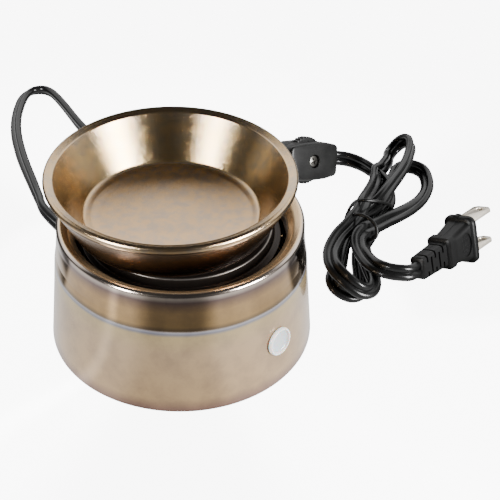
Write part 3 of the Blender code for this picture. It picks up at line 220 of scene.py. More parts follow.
plugPose = Matrix.Translation(plug["place"]) @ Matrix.Rotation(plug["yaw"], 4, "Z")
plugPose = plugPose @ Matrix.Rotation(plug["pitch"], 4, "Y") @ Matrix.Rotation(plug["lean"], 4, "X")
lensPose = wallFrame(lens["height"])
bushPose = wallFrame(bush["height"], back=True)


# Meshes
def finishPiece(name, work, material, body, smoothAngle=35.0):
    bmesh.ops.recalc_face_normals(work, faces=work.faces)
    for face in work.faces:
        face.smooth = True
    mesh = bpy.data.meshes.new(name)
    work.to_mesh(mesh)
    work.free()
    mesh.set_sharp_from_angle(angle=math.radians(smoothAngle))
    mesh.materials.append(material)
    made = placed(name, mesh)
    if body:
        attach(made, body)
    return made


def rounded(corners, steps=6):
    points = []
    last = len(corners) - 1
    for index, (r, z, fillet) in enumerate(corners):
        here = Vector((r, z))
        if fillet == 0:
            points.append(here)
            continue
        before = Vector(corners[index - 1][:2]) - here
        after = Vector(corners[0 if index == last else index + 1][:2]) - here
        half = before.angle(after) / 2
        reach = min(fillet / math.tan(half), 0.49 * before.length, 0.49 * after.length)
        bisector = (before.normalized() + after.normalized()).normalized()
        centre = here + bisector * (reach / math.cos(half))
        start = here + before.normalized() * reach - centre
        sweep = start.angle_signed(here + after.normalized() * reach - centre)
        for step in range(steps + 1):
            points.append(centre + Matrix.Rotation(-sweep * step / steps, 2) @ start)
    return points


def spun(outline, segments, closed=False, place=None):
    work = bmesh.new()
    verts = [work.verts.new((p[0], 0.0, p[1])) for p in outline]
    edges = [work.edges.new(pair) for pair in zip(verts, verts[1:])]
    if closed:
        edges.append(work.edges.new((verts[-1], verts[0])))
    bmesh.ops.spin(
        work, geom=verts + edges, cent=(0, 0, 0), axis=(0, 0, 1), dvec=(0, 0, 0),
        angle=2 * math.pi, steps=segments, use_merge=True, use_duplicate=False,
    )
    bmesh.ops.remove_doubles(work, verts=work.verts, dist=0.000001)
    if place:
        bmesh.ops.transform(work, matrix=place, verts=work.verts)
    return work


def extruded(outlines, low, high, place, edge=0.0, segments=2):
    work = bmesh.new()
    rings = []
    for outline in outlines:
        ring = [work.verts.new((x, y, low)) for x, y in outline]
        for a, b in zip(ring, ring[1:] + ring[:1]):
            work.edges.new((a, b))
        rings.append(ring)
    filled = bmesh.ops.triangle_fill(work, edges=work.edges[:], use_beauty=True, use_dissolve=True)
    faces = [g for g in filled["geom"] if isinstance(g, bmesh.types.BMFace)]
    grown = bmesh.ops.extrude_face_region(work, geom=faces, use_keep_orig=True)
    moved = [g for g in grown["geom"] if isinstance(g, bmesh.types.BMVert)]
    bmesh.ops.translate(work, verts=moved, vec=(0.0, 0.0, high - low))
    bmesh.ops.recalc_face_normals(work, faces=work.faces)
    if edge:
        rims = [e for e in work.edges if e.is_manifold and e.calc_face_angle(0.0) > math.radians(30)]
        bmesh.ops.bevel(
            work, geom=rims, offset=edge, offset_type="OFFSET", segments=segments,
            profile=0.5, affect="EDGES", material=-1, clamp_overlap=True,
        )
    bmesh.ops.transform(work, matrix=place, verts=work.verts)
    return work


def circle(radius, centre=(0.0, 0.0), steps=32):
    turns = [2 * math.pi * i / steps for i in range(steps)]
    return [(centre[0] + radius * math.cos(t), centre[1] + radius * math.sin(t)) for t in turns]


def applyModifiers(piece):
    bpy.context.view_layer.update()
    graph = bpy.context.evaluated_depsgraph_get()
    mesh = bpy.data.meshes.new_from_object(piece.evaluated_get(graph))
    piece.modifiers.clear()
    piece.data = mesh


def cut(piece, *cutters):
    for cutter in cutters:
        change = piece.modifiers.new("Cut", "BOOLEAN")
        change.operation = "DIFFERENCE"
        change.solver = "EXACT"
        change.object = cutter
    applyModifiers(piece)
    for cutter in cutters:
        bpy.data.objects.remove(cutter, do_unlink=True)


def cutterFrom(work):
    bmesh.ops.recalc_face_normals(work, faces=work.faces)
    mesh = bpy.data.meshes.new("cutter")
    work.to_mesh(mesh)
    work.free()
    return placed("cutter", mesh)


# Shader nodes
def newMaterial(name):
    made = bpy.data.materials.new(name)
    made.use_nodes = True
    return made, made.node_tree, made.node_tree.nodes["Principled BSDF"]


def node(tree, kind, **values):
    made = tree.nodes.new(kind)
    for key, value in values.items():
        if key in made.inputs:
            made.inputs[key].default_value = value
        else:
            setattr(made, key, value)
    return made


def setInputs(target, values):
    for label, value in values.items():
        target.inputs[label].default_value = value


def join(tree, source, output, target, entry):
    tree.links.new(source.outputs[output], target.inputs[entry])


def ramp(tree, stops):
    # Each stop is a place and a colour, or one number for a grey
    made = tree.nodes.new("ShaderNodeValToRGB")
    while len(made.color_ramp.elements) < len(stops):
        made.color_ramp.elements.new(0.5)
    for element, (place, colour) in zip(made.color_ramp.elements, stops):
        element.position = place
        element.color = (*(colour if isinstance(colour, tuple) else (colour,) * 3), 1.0)
    return made


def maths(tree, operation, *sources):
    made = tree.nodes.new("ShaderNodeMath")
    made.operation = operation
    for index, source in enumerate(sources):
        if isinstance(source, (int, float)):
            made.inputs[index].default_value = source
        else:
            tree.links.new(source, made.inputs[index])
    return made.outputs["Value"]


def between(tree, source, low, high):
    made = node(tree, "ShaderNodeMapRange", interpolation_type="SMOOTHSTEP")
    setInputs(made, {"From Min": low, "From Max": high})
    tree.links.new(source, made.inputs["Value"])
    return made.outputs["Result"]


def along(tree, source, direction):
    made = node(tree, "ShaderNodeVectorMath", operation="DOT_PRODUCT")
    made.inputs[1].default_value = direction
    tree.links.new(source, made.inputs[0])
    return made.outputs["Value"]


def lengthOf(tree, source):
    # How far out from the upright line through the origin
    made = node(tree, "ShaderNodeVectorMath", operation="LENGTH")
    flat = node(tree, "ShaderNodeVectorMath", operation="MULTIPLY")
    flat.inputs[1].default_value = (1.0, 1.0, 0.0)
    tree.links.new(source, flat.inputs[0])
    join(tree, flat, "Vector", made, 0)
    return made.outputs["Value"]


def objectPlace(tree):
    mapping = node(tree, "ShaderNodeMapping")
    parts = node(tree, "ShaderNodeSeparateXYZ")
    join(tree, node(tree, "ShaderNodeTexCoord"), "Object", mapping, "Vector")
    join(tree, mapping, "Vector", parts, "Vector")
    return mapping, parts


def makeGrain():
    group = bpy.data.node_groups.new("surfaceGrain", "ShaderNodeTree")
    face = group.interface
    for label, value in (("Coarse", 60.0), ("Fine", 1500.0), ("Depth", 0.3), ("Relief", 0.00005)):
        socket = face.new_socket(name=label, in_out="INPUT", socket_type="NodeSocketFloat")
        socket.default_value = value
    face.new_socket(name="Patches", in_out="OUTPUT", socket_type="NodeSocketFloat")
    face.new_socket(name="Specks", in_out="OUTPUT", socket_type="NodeSocketFloat")
    face.new_socket(name="Normal", in_out="OUTPUT", socket_type="NodeSocketVector")
    inside = group.nodes.new("NodeGroupInput")
    outside = group.nodes.new("NodeGroupOutput")
    coords = node(group, "ShaderNodeTexCoord")
    mapping = node(group, "ShaderNodeMapping")
    coarse = node(group, "ShaderNodeTexNoise", Detail=4.0, Roughness=0.6)
    fine = node(group, "ShaderNodeTexNoise", Detail=2.0, Roughness=0.6)
    bump = node(group, "ShaderNodeBump")
    join(group, coords, "Object", mapping, "Vector")
    for noise, label in ((coarse, "Coarse"), (fine, "Fine")):
        join(group, mapping, "Vector", noise, "Vector")
        join(group, inside, label, noise, "Scale")
    join(group, fine, "Fac", bump, "Height")
    join(group, inside, "Depth", bump, "Strength")
    join(group, inside, "Relief", bump, "Distance")
    join(group, coarse, "Fac", outside, "Patches")
    join(group, fine, "Fac", outside, "Specks")
    join(group, bump, "Normal", outside, "Normal")
    return group


grainGroup = makeGrain()


def grain(tree, coarse, fine, depth, relief):
    made = tree.nodes.new("ShaderNodeGroup")
    made.node_tree = grainGroup
    setInputs(made, {"Coarse": coarse, "Fine": fine, "Depth": depth, "Relief": relief})
    return made


def blotched(tree, colour, skin, stops, share):
    # A colour broken by the soft patches of the grain
    mix = node(tree, "ShaderNodeMix", data_type="RGBA", blend_type="MULTIPLY", Factor=share)
    shade = ramp(tree, stops)
    join(tree, skin, "Patches", shade, "Fac")
    join(tree, colour, "Color", mix, "A")
    join(tree, shade, "Color", mix, "B")
    return mix


def overlaid(tree, under, colour, share):
    mix = node(tree, "ShaderNodeMix", data_type="RGBA", B=(*colour, 1.0))
    tree.links.new(share, mix.inputs["Factor"])
    tree.links.new(under.outputs["Result"], mix.inputs["A"])
    return mix


def plainMaterial(
    name, dark, light, rough, metallic=0.0, coarse=80.0, fine=2500.0, depth=0.3, relief=0.00004, specular=0.5,
):
    made, tree, shader = newMaterial(name)
    skin = grain(tree, coarse, fine, depth, relief)
    tint = ramp(tree, [(0.35, dark), (0.65, light)])
    shine = node(tree, "ShaderNodeMapRange")
    setInputs(shine, {"From Min": 0.3, "From Max": 0.7, "To Min": rough[0], "To Max": rough[1]})
    join(tree, skin, "Patches", tint, "Fac")
    join(tree, skin, "Patches", shine, "Value")
    join(tree, tint, "Color", shader, "Base Color")
    join(tree, shine, "Result", shader, "Roughness")
    join(tree, skin, "Normal", shader, "Normal")
    setInputs(shader, {"Metallic": metallic, "Specular IOR Level": specular})
    return made


# Cord: two conductors side by side, the ribbed one marks the neutral wire
cordLook = {"half": 0.0016, "web": 0.0007, "rib": 0.00005, "spacing": 0.0012, "lift": 0.0001}


def cordSection():
    half = cordLook["half"]
    points = []
    for side in (1, -1):
        for step in range(-6, 7):
            turn = math.radians(21.5 * step)
            radius = half + (cordLook["rib"] * (1 if step % 2 else -1) if side < 0 and abs(step) < 5 else 0.0)
            points.append((side * (half + radius * math.cos(turn)), side * radius * math.sin(turn)))
        points.append((0.0, side * cordLook["web"]))
    return points


def smoothRoute(knots, spacing):
    points = [Vector(k) for k in knots]
    points = [2 * points[0] - points[1]] + points + [2 * points[-1] - points[-2]]
    fine = []
    for a, b, c, d in zip(points, points[1:], points[2:], points[3:]):
        for step in range(16):
            t = step / 16
            bend = (2 * a - 5 * b + 4 * c - d) * t * t + (3 * b - a - 3 * c + d) * t**3
            fine.append(0.5 * (2 * b + (c - a) * t + bend))
    fine.append(points[-2])
    for _ in range(6):
        fine = fine[:1] + [(a + 2 * b + c) / 4 for a, b, c in zip(fine, fine[1:], fine[2:])] + fine[-1:]
    steps = [(q - p).to_3d().length for p, q in zip(fine, fine[1:])]
    count = round(sum(steps) / spacing)
    route, walked, goal = [fine[0]], 0.0, sum(steps) / count
    for p, q, step in zip(fine, fine[1:], steps):
        while len(route) < count and walked + step >= len(route) * goal:
            route.append(p.lerp(q, (len(route) * goal - walked) / step))
        walked += step
    return route + [fine[-1]]


def headings(path):
    last = len(path) - 1
    return [(path[min(i + 1, last)] - path[max(i - 1, 0)]).normalized() for i in range(last + 1)]


def skinned(path, axes, section):
    work = bmesh.new()
    rings = []
    for point, (wide, thin) in zip(path, axes):
        rings.append([work.verts.new(point + wide * x + thin * y) for x, y in section])
    count = len(section)
    for near, far in zip(rings, rings[1:]):
        for i in range(count):
            j = (i + 1) % count
            work.faces.new((near[i], near[j], far[j], far[i]))
    for ring in (rings[0], rings[-1]):
        work.faces.new(ring)
    return work


def flatCord(name, knots, material):
    route = smoothRoute(knots, cordLook["spacing"])
    for point in route:
        flatness = abs(math.sin(math.radians(point[3])))
        point.z = max(point.z, cordLook["half"] * (1 + flatness) + cordLook["lift"])
    path = [p.to_3d() for p in route]
    axes = []
    for point, ahead in zip(route, headings(path)):
        aside = Vector((-ahead.y, ahead.x, 0.0)).normalized()
        lean = math.radians(point[3])
        wide = aside * math.cos(lean) + ahead.cross(aside) * math.sin(lean)
        axes.append((wide, ahead.cross(wide)))
    piece = finishPiece(name, skinned(path, axes, cordSection()), material, "base", 50.0)
    length = sum((q - p).length for p, q in zip(path, path[1:]))
    return piece, path, length


# Knots of the routes: x, y and z in millimetres, and the lean of the cord's width from level in degrees
routeToSwitch = [
    (8.3, 85.2, 5.4, 88), (14, 95.2, 3.6, 95), (19.3, 105, 3.1, 102), (24.8, 115.4, 3.1, 108),
    (28.9, 122.8, 3.1, 113), (33.3, 130, 3.1, 117), (37.9, 137, 3.1, 120), (43, 143.8, 3, 124),
    (48.6, 150.1, 3, 128), (54.7, 155.8, 2.9, 134), (59, 159.3, 2.8, 136), (61.7, 161.3, 2.7, 139),
    (64.5, 162.9, 2.7, 140), (67.5, 163.9, 2.7, 140), (70.6, 163.7, 2.8, 136), (73.2, 161.9, 2.8, 131),
    (74.6, 159.1, 2.8, 125), (74.7, 156, 2.9, 119), (74.1, 152.8, 2.9, 113), (73.2, 149.7, 2.9, 110),
    (71.7, 145, 3, 107), (68.8, 137.1, 3, 104), (65.8, 129.2, 3.1, 102), (63.1, 121.2, 3.1, 100),
    (60.8, 113.1, 3.2, 98), (58.9, 104.8, 3.3, 96), (57.6, 96.5, 3.3, 94), (56.6, 88.2, 3.3, 92),
    (56.1, 79.7, 3.3, 90), (56.6, 71.3, 3.3, 88), (58.2, 63.1, 4.2, 85), (60.4, 55.4, 6.7, 82),
    (63.6, 48.2, 9.8, 80), (67.9, 41.8, 13.1, 76), (72.9, 36, 16.1, 73), (76.2, 32.8, 17.5, 72),
    (78.7, 30.9, 18.2, 71), (81.4, 29.4, 18.5, 70),
]
routeToPlug = [
    (119.5, 22.2, 5.8, 71), (122.3, 19.6, 5.2, 73), (124, 16, 4.8, 77), (124.3, 11.8, 4.8, 82),
    (123.5, 7.7, 5.1, 84), (122.6, 3.6, 5.1, 86), (121.6, -0.4, 5, 88), (120.1, -4.3, 5.5, 92),
    (117.9, -7.8, 5.7, 98), (114.5, -11, 5.3, 106), (109.8, -13.7, 4.9, 114), (101.8, -16.1, 4, 122),
    (93.6, -18.3, 2.9, 128), (85.5, -20.9, 2.7, 130), (77.3, -23.2, 3.2, 138), (70.4, -28, 3.3, 150),
    (64.8, -33.1, 3.3, 158), (62, -35.7, 3.3, 160), (59.4, -37.8, 3.4, 156), (56.7, -39.4, 3.6, 148),
    (53.6, -39.9, 4.2, 134), (50.7, -39, 5.2, 126), (48.9, -36.8, 6.5, 126), (48.3, -34, 7.8, 138),
    (49.7, -31.5, 8.5, 158), (52.3, -29.7, 8.4, 178), (55.4, -28.5, 8, 190), (58.5, -27.1, 7.7, 198),
    (62.1, -25, 7.5, 204), (68.9, -20.6, 7.4, 201), (75.4, -17.4, 7.7, 198), (80.6, -15.5, 9.3, 196),
    (86.3, -14.9, 10.5, 200), (92.4, -15.6, 10.6, 212), (99.7, -15.5, 11.9, 234),
    (107.9, -13.5, 12.1, 248), (116, -11, 11.3, 252), (124, -8.4, 10.3, 253), (132, -5.4, 9.7, 252),
    (137.6, -2.8, 9.5, 250), (140.6, -1.2, 9.6, 249), (143.4, 0.3, 9.7, 247), (145.9, 2.3, 9.8, 249),
    (147.6, 4.9, 9.1, 258), (148.1, 7.4, 7.7, 270), (147.4, 9.2, 5.8, 282), (145.4, 10.1, 4.1, 292),
    (142.5, 9.9, 3.2, 298), (139.5, 8.8, 3.2, 300), (137, 7.1, 3.9, 300), (134.1, 5.5, 4.7, 300),
    (130.6, 4.2, 5.4, 300), (126, 2.6, 6.4, 300), (121.1, 1.9, 7.6, 302), (117.2, -0.6, 8.6, 306),
    (113.3, -3.4, 9.6, 310), (107, -6.9, 10.9, 314), (99.5, -10.3, 12.8, 318), (91.8, -13.5, 14.6, 322),
    (83.9, -16.7, 14.7, 326), (75.7, -18.6, 14.4, 330), (67.2, -19.8, 13.9, 340),
    (59.3, -22.6, 13.5, 355), (54, -26.5, 13.6, 372), (50.8, -30.6, 13.8, 390),
    (49.4, -34.5, 13.4, 402), (49, -37.7, 12.6, 411), (49.5, -40.5, 11.2, 418), (50.9, -42.9, 9.5, 424),
    (53.4, -44.3, 8.1, 424), (56.4, -44.5, 7.4, 412), (59.4, -43.2, 7.3, 392), (61.7, -41.1, 7.6, 375),
    (63.7, -38.6, 8.1, 366), (65.7, -35.8, 8.7, 362), (69.8, -30.5, 9.2, 364), (76.1, -24.8, 8.7, 372),
    (83.3, -20.4, 7.6, 379), (90.5, -16.1, 6.3, 382), (98.2, -12.6, 5.9, 390), (106.1, -9.5, 5.4, 405),
    (111, -7.2, 4.9, 418), (115.1, -5, 4.2, 430), (119.6, -3.9, 3.5, 440), (124.1, -3.3, 3.3, 447),
    (127.4, -1.9, 3.3, 450), (130.4, -0.7, 3.3, 451), (133.6, -0.2, 3.3, 450), (136.7, -0.9, 3.3, 448),
    (139.1, -2.9, 3.3, 442), (140.1, -5.9, 3.3, 434), (139.7, -9, 3.3, 426), (138, -11.7, 3.4, 420),
    (135.7, -14, 3.5, 416), (133.2, -16.2, 3.6, 412), (128.2, -19.3, 3.9, 400),
    (120.1, -21.9, 4.4, 375), (111.6, -22.7, 5.1, 352), (103.2, -22.8, 6.4, 337), (95, -23.3, 8.6, 326),
    (87.1, -24.3, 11, 320), (81.5, -24.6, 12.7, 317), (76.4, -24.8, 14, 320), (71.3, -26.2, 14.1, 336),
    (67.3, -29.6, 13.8, 356), (64.1, -34, 14.2, 374), (61.6, -38.1, 14.9, 386),
    (59.8, -42.4, 15.6, 400), (59.8, -46.6, 16, 416), (60.9, -49.7, 16, 426), (62.9, -52.2, 15.7, 430),
    (65.4, -54.1, 15.1, 431),
]

cordBlack = plainMaterial(
    "cordBlack", (0.003, 0.003, 0.003), (0.005, 0.005, 0.005), (0.20, 0.28),
    fine=1800.0, depth=0.15, specular=0.22,
)


def metres(route):
    return [(*[value / 1000 for value in knot[:3]], *knot[3:]) for knot in route]


def makeCords():
    # Each end runs straight out of what holds it: how far in, how far out
    tail = bush["flange"] + bush["tail"]
    half = switch["length"] / 2
    bushTip, bushLead = [bushPose @ Vector((0.0, 0.0, tail + far)) for far in (-0.004, 0.003)]
    left, leftLead = [switchPose @ Vector((-half - far, 0.0, 0.0)) for far in (0.0001, 0.0035)]
    right, rightLead = [switchPose @ Vector((half + far, 0.0, 0.0)) for far in (0.0001, 0.0028)]
    entry, entryLead = [plugPose @ Vector((-far, 0.0, 0.0)) for far in (0.0001, 0.0028)]
    knots = [(*bushTip, 95), (*bushLead, 95)] + metres(routeToSwitch) + [(*leftLead, 70), (*left, 70)]
    toSwitch, pathToSwitch, lengthToSwitch = flatCord("cordToSwitch", knots, cordBlack)
    knots = [(*right, 70), (*rightLead, 71)] + metres(routeToPlug) + [(*entryLead, 431), (*entry, 430.6)]
    toPlug, pathToPlug, lengthToPlug = flatCord("cordToPlug", knots, cordBlack)
    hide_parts("cord_to_switch")
    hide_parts("cord_to_hank", "cord_hank", "cord_to_plug")
    print("cord lengths:", round(lengthToSwitch, 4), round(lengthToPlug, 4))
    return (toSwitch, pathToSwitch, lengthToSwitch), (toPlug, pathToPlug, lengthToPlug)


cordToSwitch, cordToPlug = makeCords()
say("cords")


# Glaze on the base: glossy bronze above the line, satin pearl below, a grey-blue line between.
# The places of the stops are shares of the glazed height, from the table up.
baseGlaze = {
    "height": 0.05,
    "waver": 38.0,
    "waverDepth": 0.0012,
    "zones": (
        (0.045, (0.17, 0.10, 0.075)),
        (0.13, (0.32, 0.215, 0.115)),
        (0.52, (0.30, 0.212, 0.125)),
        (0.655, (0.30, 0.228, 0.118)),
        (0.678, (0.13, 0.13, 0.15)),
        (0.692, (0.22, 0.21, 0.225)),
        # Painted dark reflection: a dark band just over the line
        (0.704, (0.16, 0.115, 0.07)),
        (0.735, (0.38, 0.245, 0.11)),
        (0.84, (0.41, 0.265, 0.125)),
        # Painted reflections on the crest: a dark band under it, then a pale silver highlight along its top
        (0.925, (0.17, 0.115, 0.10)),
        (0.955, (0.46, 0.39, 0.33)),
    ),
    "metal": ((0.694, 0.52), (0.708, 1.0)),
    "shine": ((0.64, 0.19), (0.70, 0.10), (0.93, 0.10), (0.955, 0.15)),
    "blotches": ((0.34, (0.74, 0.74, 0.80)), (0.60, 1.0)),
    "blotchShare": 0.8,
    "swell": 26.0,
    "rippleDepth": 0.0016,
    "coat": 0.35,
    # The slope inside the crest is paler and duller
    "innerRadius": (0.0426, 0.0418),
    "innerHeight": (0.0445, 0.0455),
    "innerColour": (0.70, 0.50, 0.29),
    "innerRough": 0.10,
    "innerMetal": -0.12,
}


def makeBaseGlaze():
    g = baseGlaze
    made, tree, shader = newMaterial("baseGlaze")
    mapping, parts = objectPlace(tree)
    waver = node(tree, "ShaderNodeTexNoise", Scale=g["waver"], Detail=2.0)
    shift = node(tree, "ShaderNodeMath", operation="MULTIPLY_ADD")
    shift.inputs[1].default_value = g["waverDepth"]
    height = node(tree, "ShaderNodeMapRange")
    height.inputs["From Max"].default_value = g["height"]
    join(tree, mapping, "Vector", waver, "Vector")
    join(tree, waver, "Fac", shift, 0)
    join(tree, parts, "Z", shift, 2)
    join(tree, shift, "Value", height, "Value")
    skin = grain(tree, 110.0, 1500.0, 0.12, 0.00003)
    colour, metal, shine = [ramp(tree, g[name]) for name in ("zones", "metal", "shine")]
    for source in (colour, metal, shine):
        join(tree, height, "Result", source, "Fac")
    blotch = blotched(tree, colour, skin, g["blotches"], g["blotchShare"])
    swell = node(tree, "ShaderNodeTexNoise", Scale=g["swell"], Detail=1.0)
    ripple = node(tree, "ShaderNodeBump", Strength=0.8, Distance=g["rippleDepth"])
    join(tree, mapping, "Vector", swell, "Vector")
    join(tree, swell, "Fac", ripple, "Height")
    join(tree, skin, "Normal", ripple, "Normal")
    inner = between(tree, lengthOf(tree, mapping.outputs["Vector"]), *g["innerRadius"])
    inner = maths(tree, "MULTIPLY", inner, between(tree, parts.outputs["Z"], *g["innerHeight"]))
    duller = maths(tree, "MULTIPLY_ADD", inner, g["innerMetal"], 1.0)
    pale = overlaid(tree, blotch, g["innerColour"], inner)
    for value, entry in (
        (pale.outputs["Result"], "Base Color"),
        (maths(tree, "MULTIPLY", metal.outputs["Color"], duller), "Metallic"),
        (maths(tree, "MULTIPLY_ADD", inner, g["innerRough"], shine.outputs["Color"]), "Roughness"),
        (maths(tree, "MULTIPLY_ADD", inner, -g["coat"], g["coat"]), "Coat Weight"),
        (ripple.outputs["Normal"], "Normal"),
        (ripple.outputs["Normal"], "Coat Normal"),
    ):
        tree.links.new(value, shader.inputs[entry])
    shader.inputs["Coat Roughness"].default_value = 0.03
    return made


# Wax dish
dish = {
    "offset": (-0.0020, 0.0024),
    "bottom": 0.04695,
    "floor": 0.0497,
    "floorRadius": 0.03115,
    # Corners of the floor, from the middle out: radius, rise, fillet
    "floorCorners": (
        (0.0, -0.0005, 0.0), (0.0110, -0.0005, 0.06), (0.0190, -0.00015, 0.06),
        (0.0255, 0.0005, 0.03), (0.0280, 0.0009, 0.004),
    ),
    # Where the floor meets the wall: inset, rise, fillet
    "floorEdge": (0.0006, 0.0009, 0.0034),
    "rim": 0.0670,
    "rimRadius": 0.03996,
    "wall": 0.0033,
    "lipReach": 0.00205,
    "lipRadius": 0.00143,
    "footRadius": 0.0285,
    "footWidth": 0.004,
    "recess": 0.0004,
}

# Glaze on the dish: satin bronze with fine sparkle, its floor paler and mottled, its foot nearly black, a
# painted shade under the dish
dishGlaze = {
    "heights": (0.047, 0.068),
    "zones": (
        # The underside and foot: painted shade
        (0.0, (0.10, 0.07, 0.04)),
        (0.09, (0.61, 0.43, 0.26)),
        (0.165, (0.60, 0.42, 0.25)),
        (0.22, (0.44, 0.31, 0.155)),
        (0.80, (0.44, 0.31, 0.155)),
        (0.94, (0.48, 0.35, 0.21)),
    ),
    "rough": ((0.0, 0.30), (0.165, 0.32), (0.22, 0.18), (0.95, 0.18)),
    "blotches": ((0.36, (0.80, 0.86, 1.04)), (0.60, (1.04, 1.0, 0.93))),
    # The outside of the wall is painted darker than the inside, a painted shade under the rim
    "wallSlope": -0.509,
    "wallOut": (0.0072, 0.0078),
    "wallTop": (0.0656, 0.0648),
    "outsideShade": (0.15, 0.095, 0.055),
}


def makeDishGlaze():
    g = dishGlaze
    made, tree, shader = newMaterial("dishGlaze")
    mapping, parts = objectPlace(tree)
    height = node(tree, "ShaderNodeMapRange")
    setInputs(height, dict(zip(("From Min", "From Max"), g["heights"])))
    skin = grain(tree, 260.0, 3600.0, 0.9, 0.00005)
    colour, rough = ramp(tree, g["zones"]), ramp(tree, g["rough"])
    join(tree, parts, "Z", height, "Value")
    join(tree, height, "Result", colour, "Fac")
    join(tree, height, "Result", rough, "Fac")
    blotch = blotched(tree, colour, skin, g["blotches"], 1.0)
    centred = node(tree, "ShaderNodeVectorMath", operation="SUBTRACT")
    centred.inputs[1].default_value = (*dish["offset"], 0.0)
    join(tree, mapping, "Vector", centred, 0)
    upright = parts.outputs["Z"]
    wall = maths(tree, "MULTIPLY_ADD", upright, g["wallSlope"], lengthOf(tree, centred.outputs["Vector"]))
    outside = between(tree, wall, *g["wallOut"])
    outside = maths(tree, "MULTIPLY", outside, between(tree, upright, *g["wallTop"]))
    # Painted shade over the outside of the wall
    dark = overlaid(tree, blotch, g["outsideShade"], outside)
    join(tree, dark, "Result", shader, "Base Color")
    join(tree, rough, "Color", shader, "Roughness")
    join(tree, skin, "Normal", shader, "Normal")
    shader.inputs["Metallic"].default_value = 1.0
    return made


# Ceramic base
def makeBase():
    b = base
    foot = b["ledgeTop"] + b["slopeFoot"]
    ledgeBottom = b["ledgeTop"] - b["ledgeThickness"]
    wallTop = ledgeBottom - 0.001
    outline = rounded([
        (b["ledgeRadius"], b["ledgeTop"], 0.0),
        (b["openingRadius"], b["ledgeTop"], 0.0),
        (b["openingRadius"], foot, 0.0004),
        (b["openingRadius"] + b["slopeRun"], foot + b["slopeRise"], 0.0012),
        *b["crest"],
        (b["shoulderRadius"], b["shoulderHeight"], 0.02),
        *[(wallRadius(height) + b["step"] * share, height, fillet) for height, share, fillet in b["flank"]],
        (b["radius"], b["edge"], b["edgeFillet"]),
        (b["recessRadius"], b["edge"], b["edge"]),
        (b["recessRadius"], b["coverSeat"], 0.0),
        (wallRadius(b["coverSeat"]) - b["wall"], b["coverSeat"], 0.0),
        (wallRadius(wallTop) - b["wall"], wallTop, 0.004),
        (b["ledgeRadius"], ledgeBottom, 0.0),
    ], 7)
    body = finishPiece("ceramicBody", spun(outline, b["segments"], closed=True), makeBaseGlaze(), None)
    smooth = placed("smooth", body.data.copy())
    holes, outside, inside = [], 0.006, -0.012
    for radius, place in ((lens["neck"] + b["lensHoleGap"], lensPose), (b["cordHole"], bushPose)):
        outline = [(0.0, outside), (radius, outside), (radius, inside), (0.0, inside)]
        holes.append(cutterFrom(spun(outline, 48, place=place)))
    cut(body, *holes)
    # The uncut wall lends its shading, so that the holes leave no marks on it
    borrow = body.modifiers.new("Normals", "DATA_TRANSFER")
    borrow.object = smooth
    borrow.use_loop_data = True
    borrow.data_types_loops = {"CUSTOM_NORMAL"}
    borrow.loop_mapping = "POLYINTERP_NEAREST"
    applyModifiers(body)
    bpy.data.objects.remove(smooth, do_unlink=True)
    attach(body, "base")
    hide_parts("ceramic_base")


makeBase()
say("base")


def makeDish():
    d = dish
    wallAngle = math.atan2(d["rim"] - d["floor"], d["rimRadius"] - d["floorRadius"])
    outward = d["wall"] / math.sin(wallAngle)
    centre = (d["rimRadius"] + d["lipReach"], d["rim"] + 0.0008 - d["lipRadius"])
    turns = [math.radians(80 - 185 * step / 14) for step in range(15)]
    bead = d["lipRadius"]
    lip = [(centre[0] + bead * math.cos(turn), centre[1] + bead * math.sin(turn), 0.0) for turn in turns]
    shoulderHeight = lip[-1][1] - 0.0005
    shoulderRadius = d["rimRadius"] + outward - (d["rim"] - shoulderHeight) / math.tan(wallAngle)
    lowHeight = d["floor"] - 0.0006
    lowRadius = d["floorRadius"] + outward - (d["floor"] - lowHeight) / math.tan(wallAngle)
    footInner = d["footRadius"] - d["footWidth"]
    inset, rise, fillet = d["floorEdge"]
    outline = rounded([
        *[(radius, d["floor"] + up, bend) for radius, up, bend in d["floorCorners"]],
        (d["floorRadius"] - inset, d["floor"] + rise, fillet),
        (d["rimRadius"], d["rim"], 0.0012),
        *lip,
        (shoulderRadius, shoulderHeight, 0.0006),
        (lowRadius, lowHeight, 0.003),
        (d["footRadius"] + 0.0004, d["bottom"] + 0.0011, 0.0004),
        (d["footRadius"], d["bottom"], 0.0002),
        (footInner, d["bottom"], 0.0),
        (footInner - d["recess"], d["bottom"] + d["recess"], 0.0),
        (0.0, d["bottom"] + d["recess"], 0.0),
    ], 6)
    work = spun(outline, 180, place=Matrix.Translation((*d["offset"], 0.0)))
    piece = finishPiece("waxDish", work, makeDishGlaze(), "dish")
    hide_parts("wax_dish")


makeDish()
say("dish")


# Hot plate, turned, with fine rings
plate = {
    "top": 0.04665,
    "radius": 0.0322,
    "draft": 0.0004,
    "brim": 0.0029,
    "brimTop": 0.0428,
    "brimLow": 0.0416,
    "skin": 0.002,
    "studRadius": 0.002,
    "studEnd": 0.03295,
    "rings": 900.0,
    "ringDepth": 0.00004,
    # The plate's near-black: painted shade under the dish
    "dark": (0.022, 0.017, 0.014),
    # A pale ring along the top edge: a painted glint
    "edgeGlint": (0.12, 0.11, 0.10),
    "glintRadius": (0.0315, 0.0318),
    "glintHeight": (0.0463, 0.0465),
}


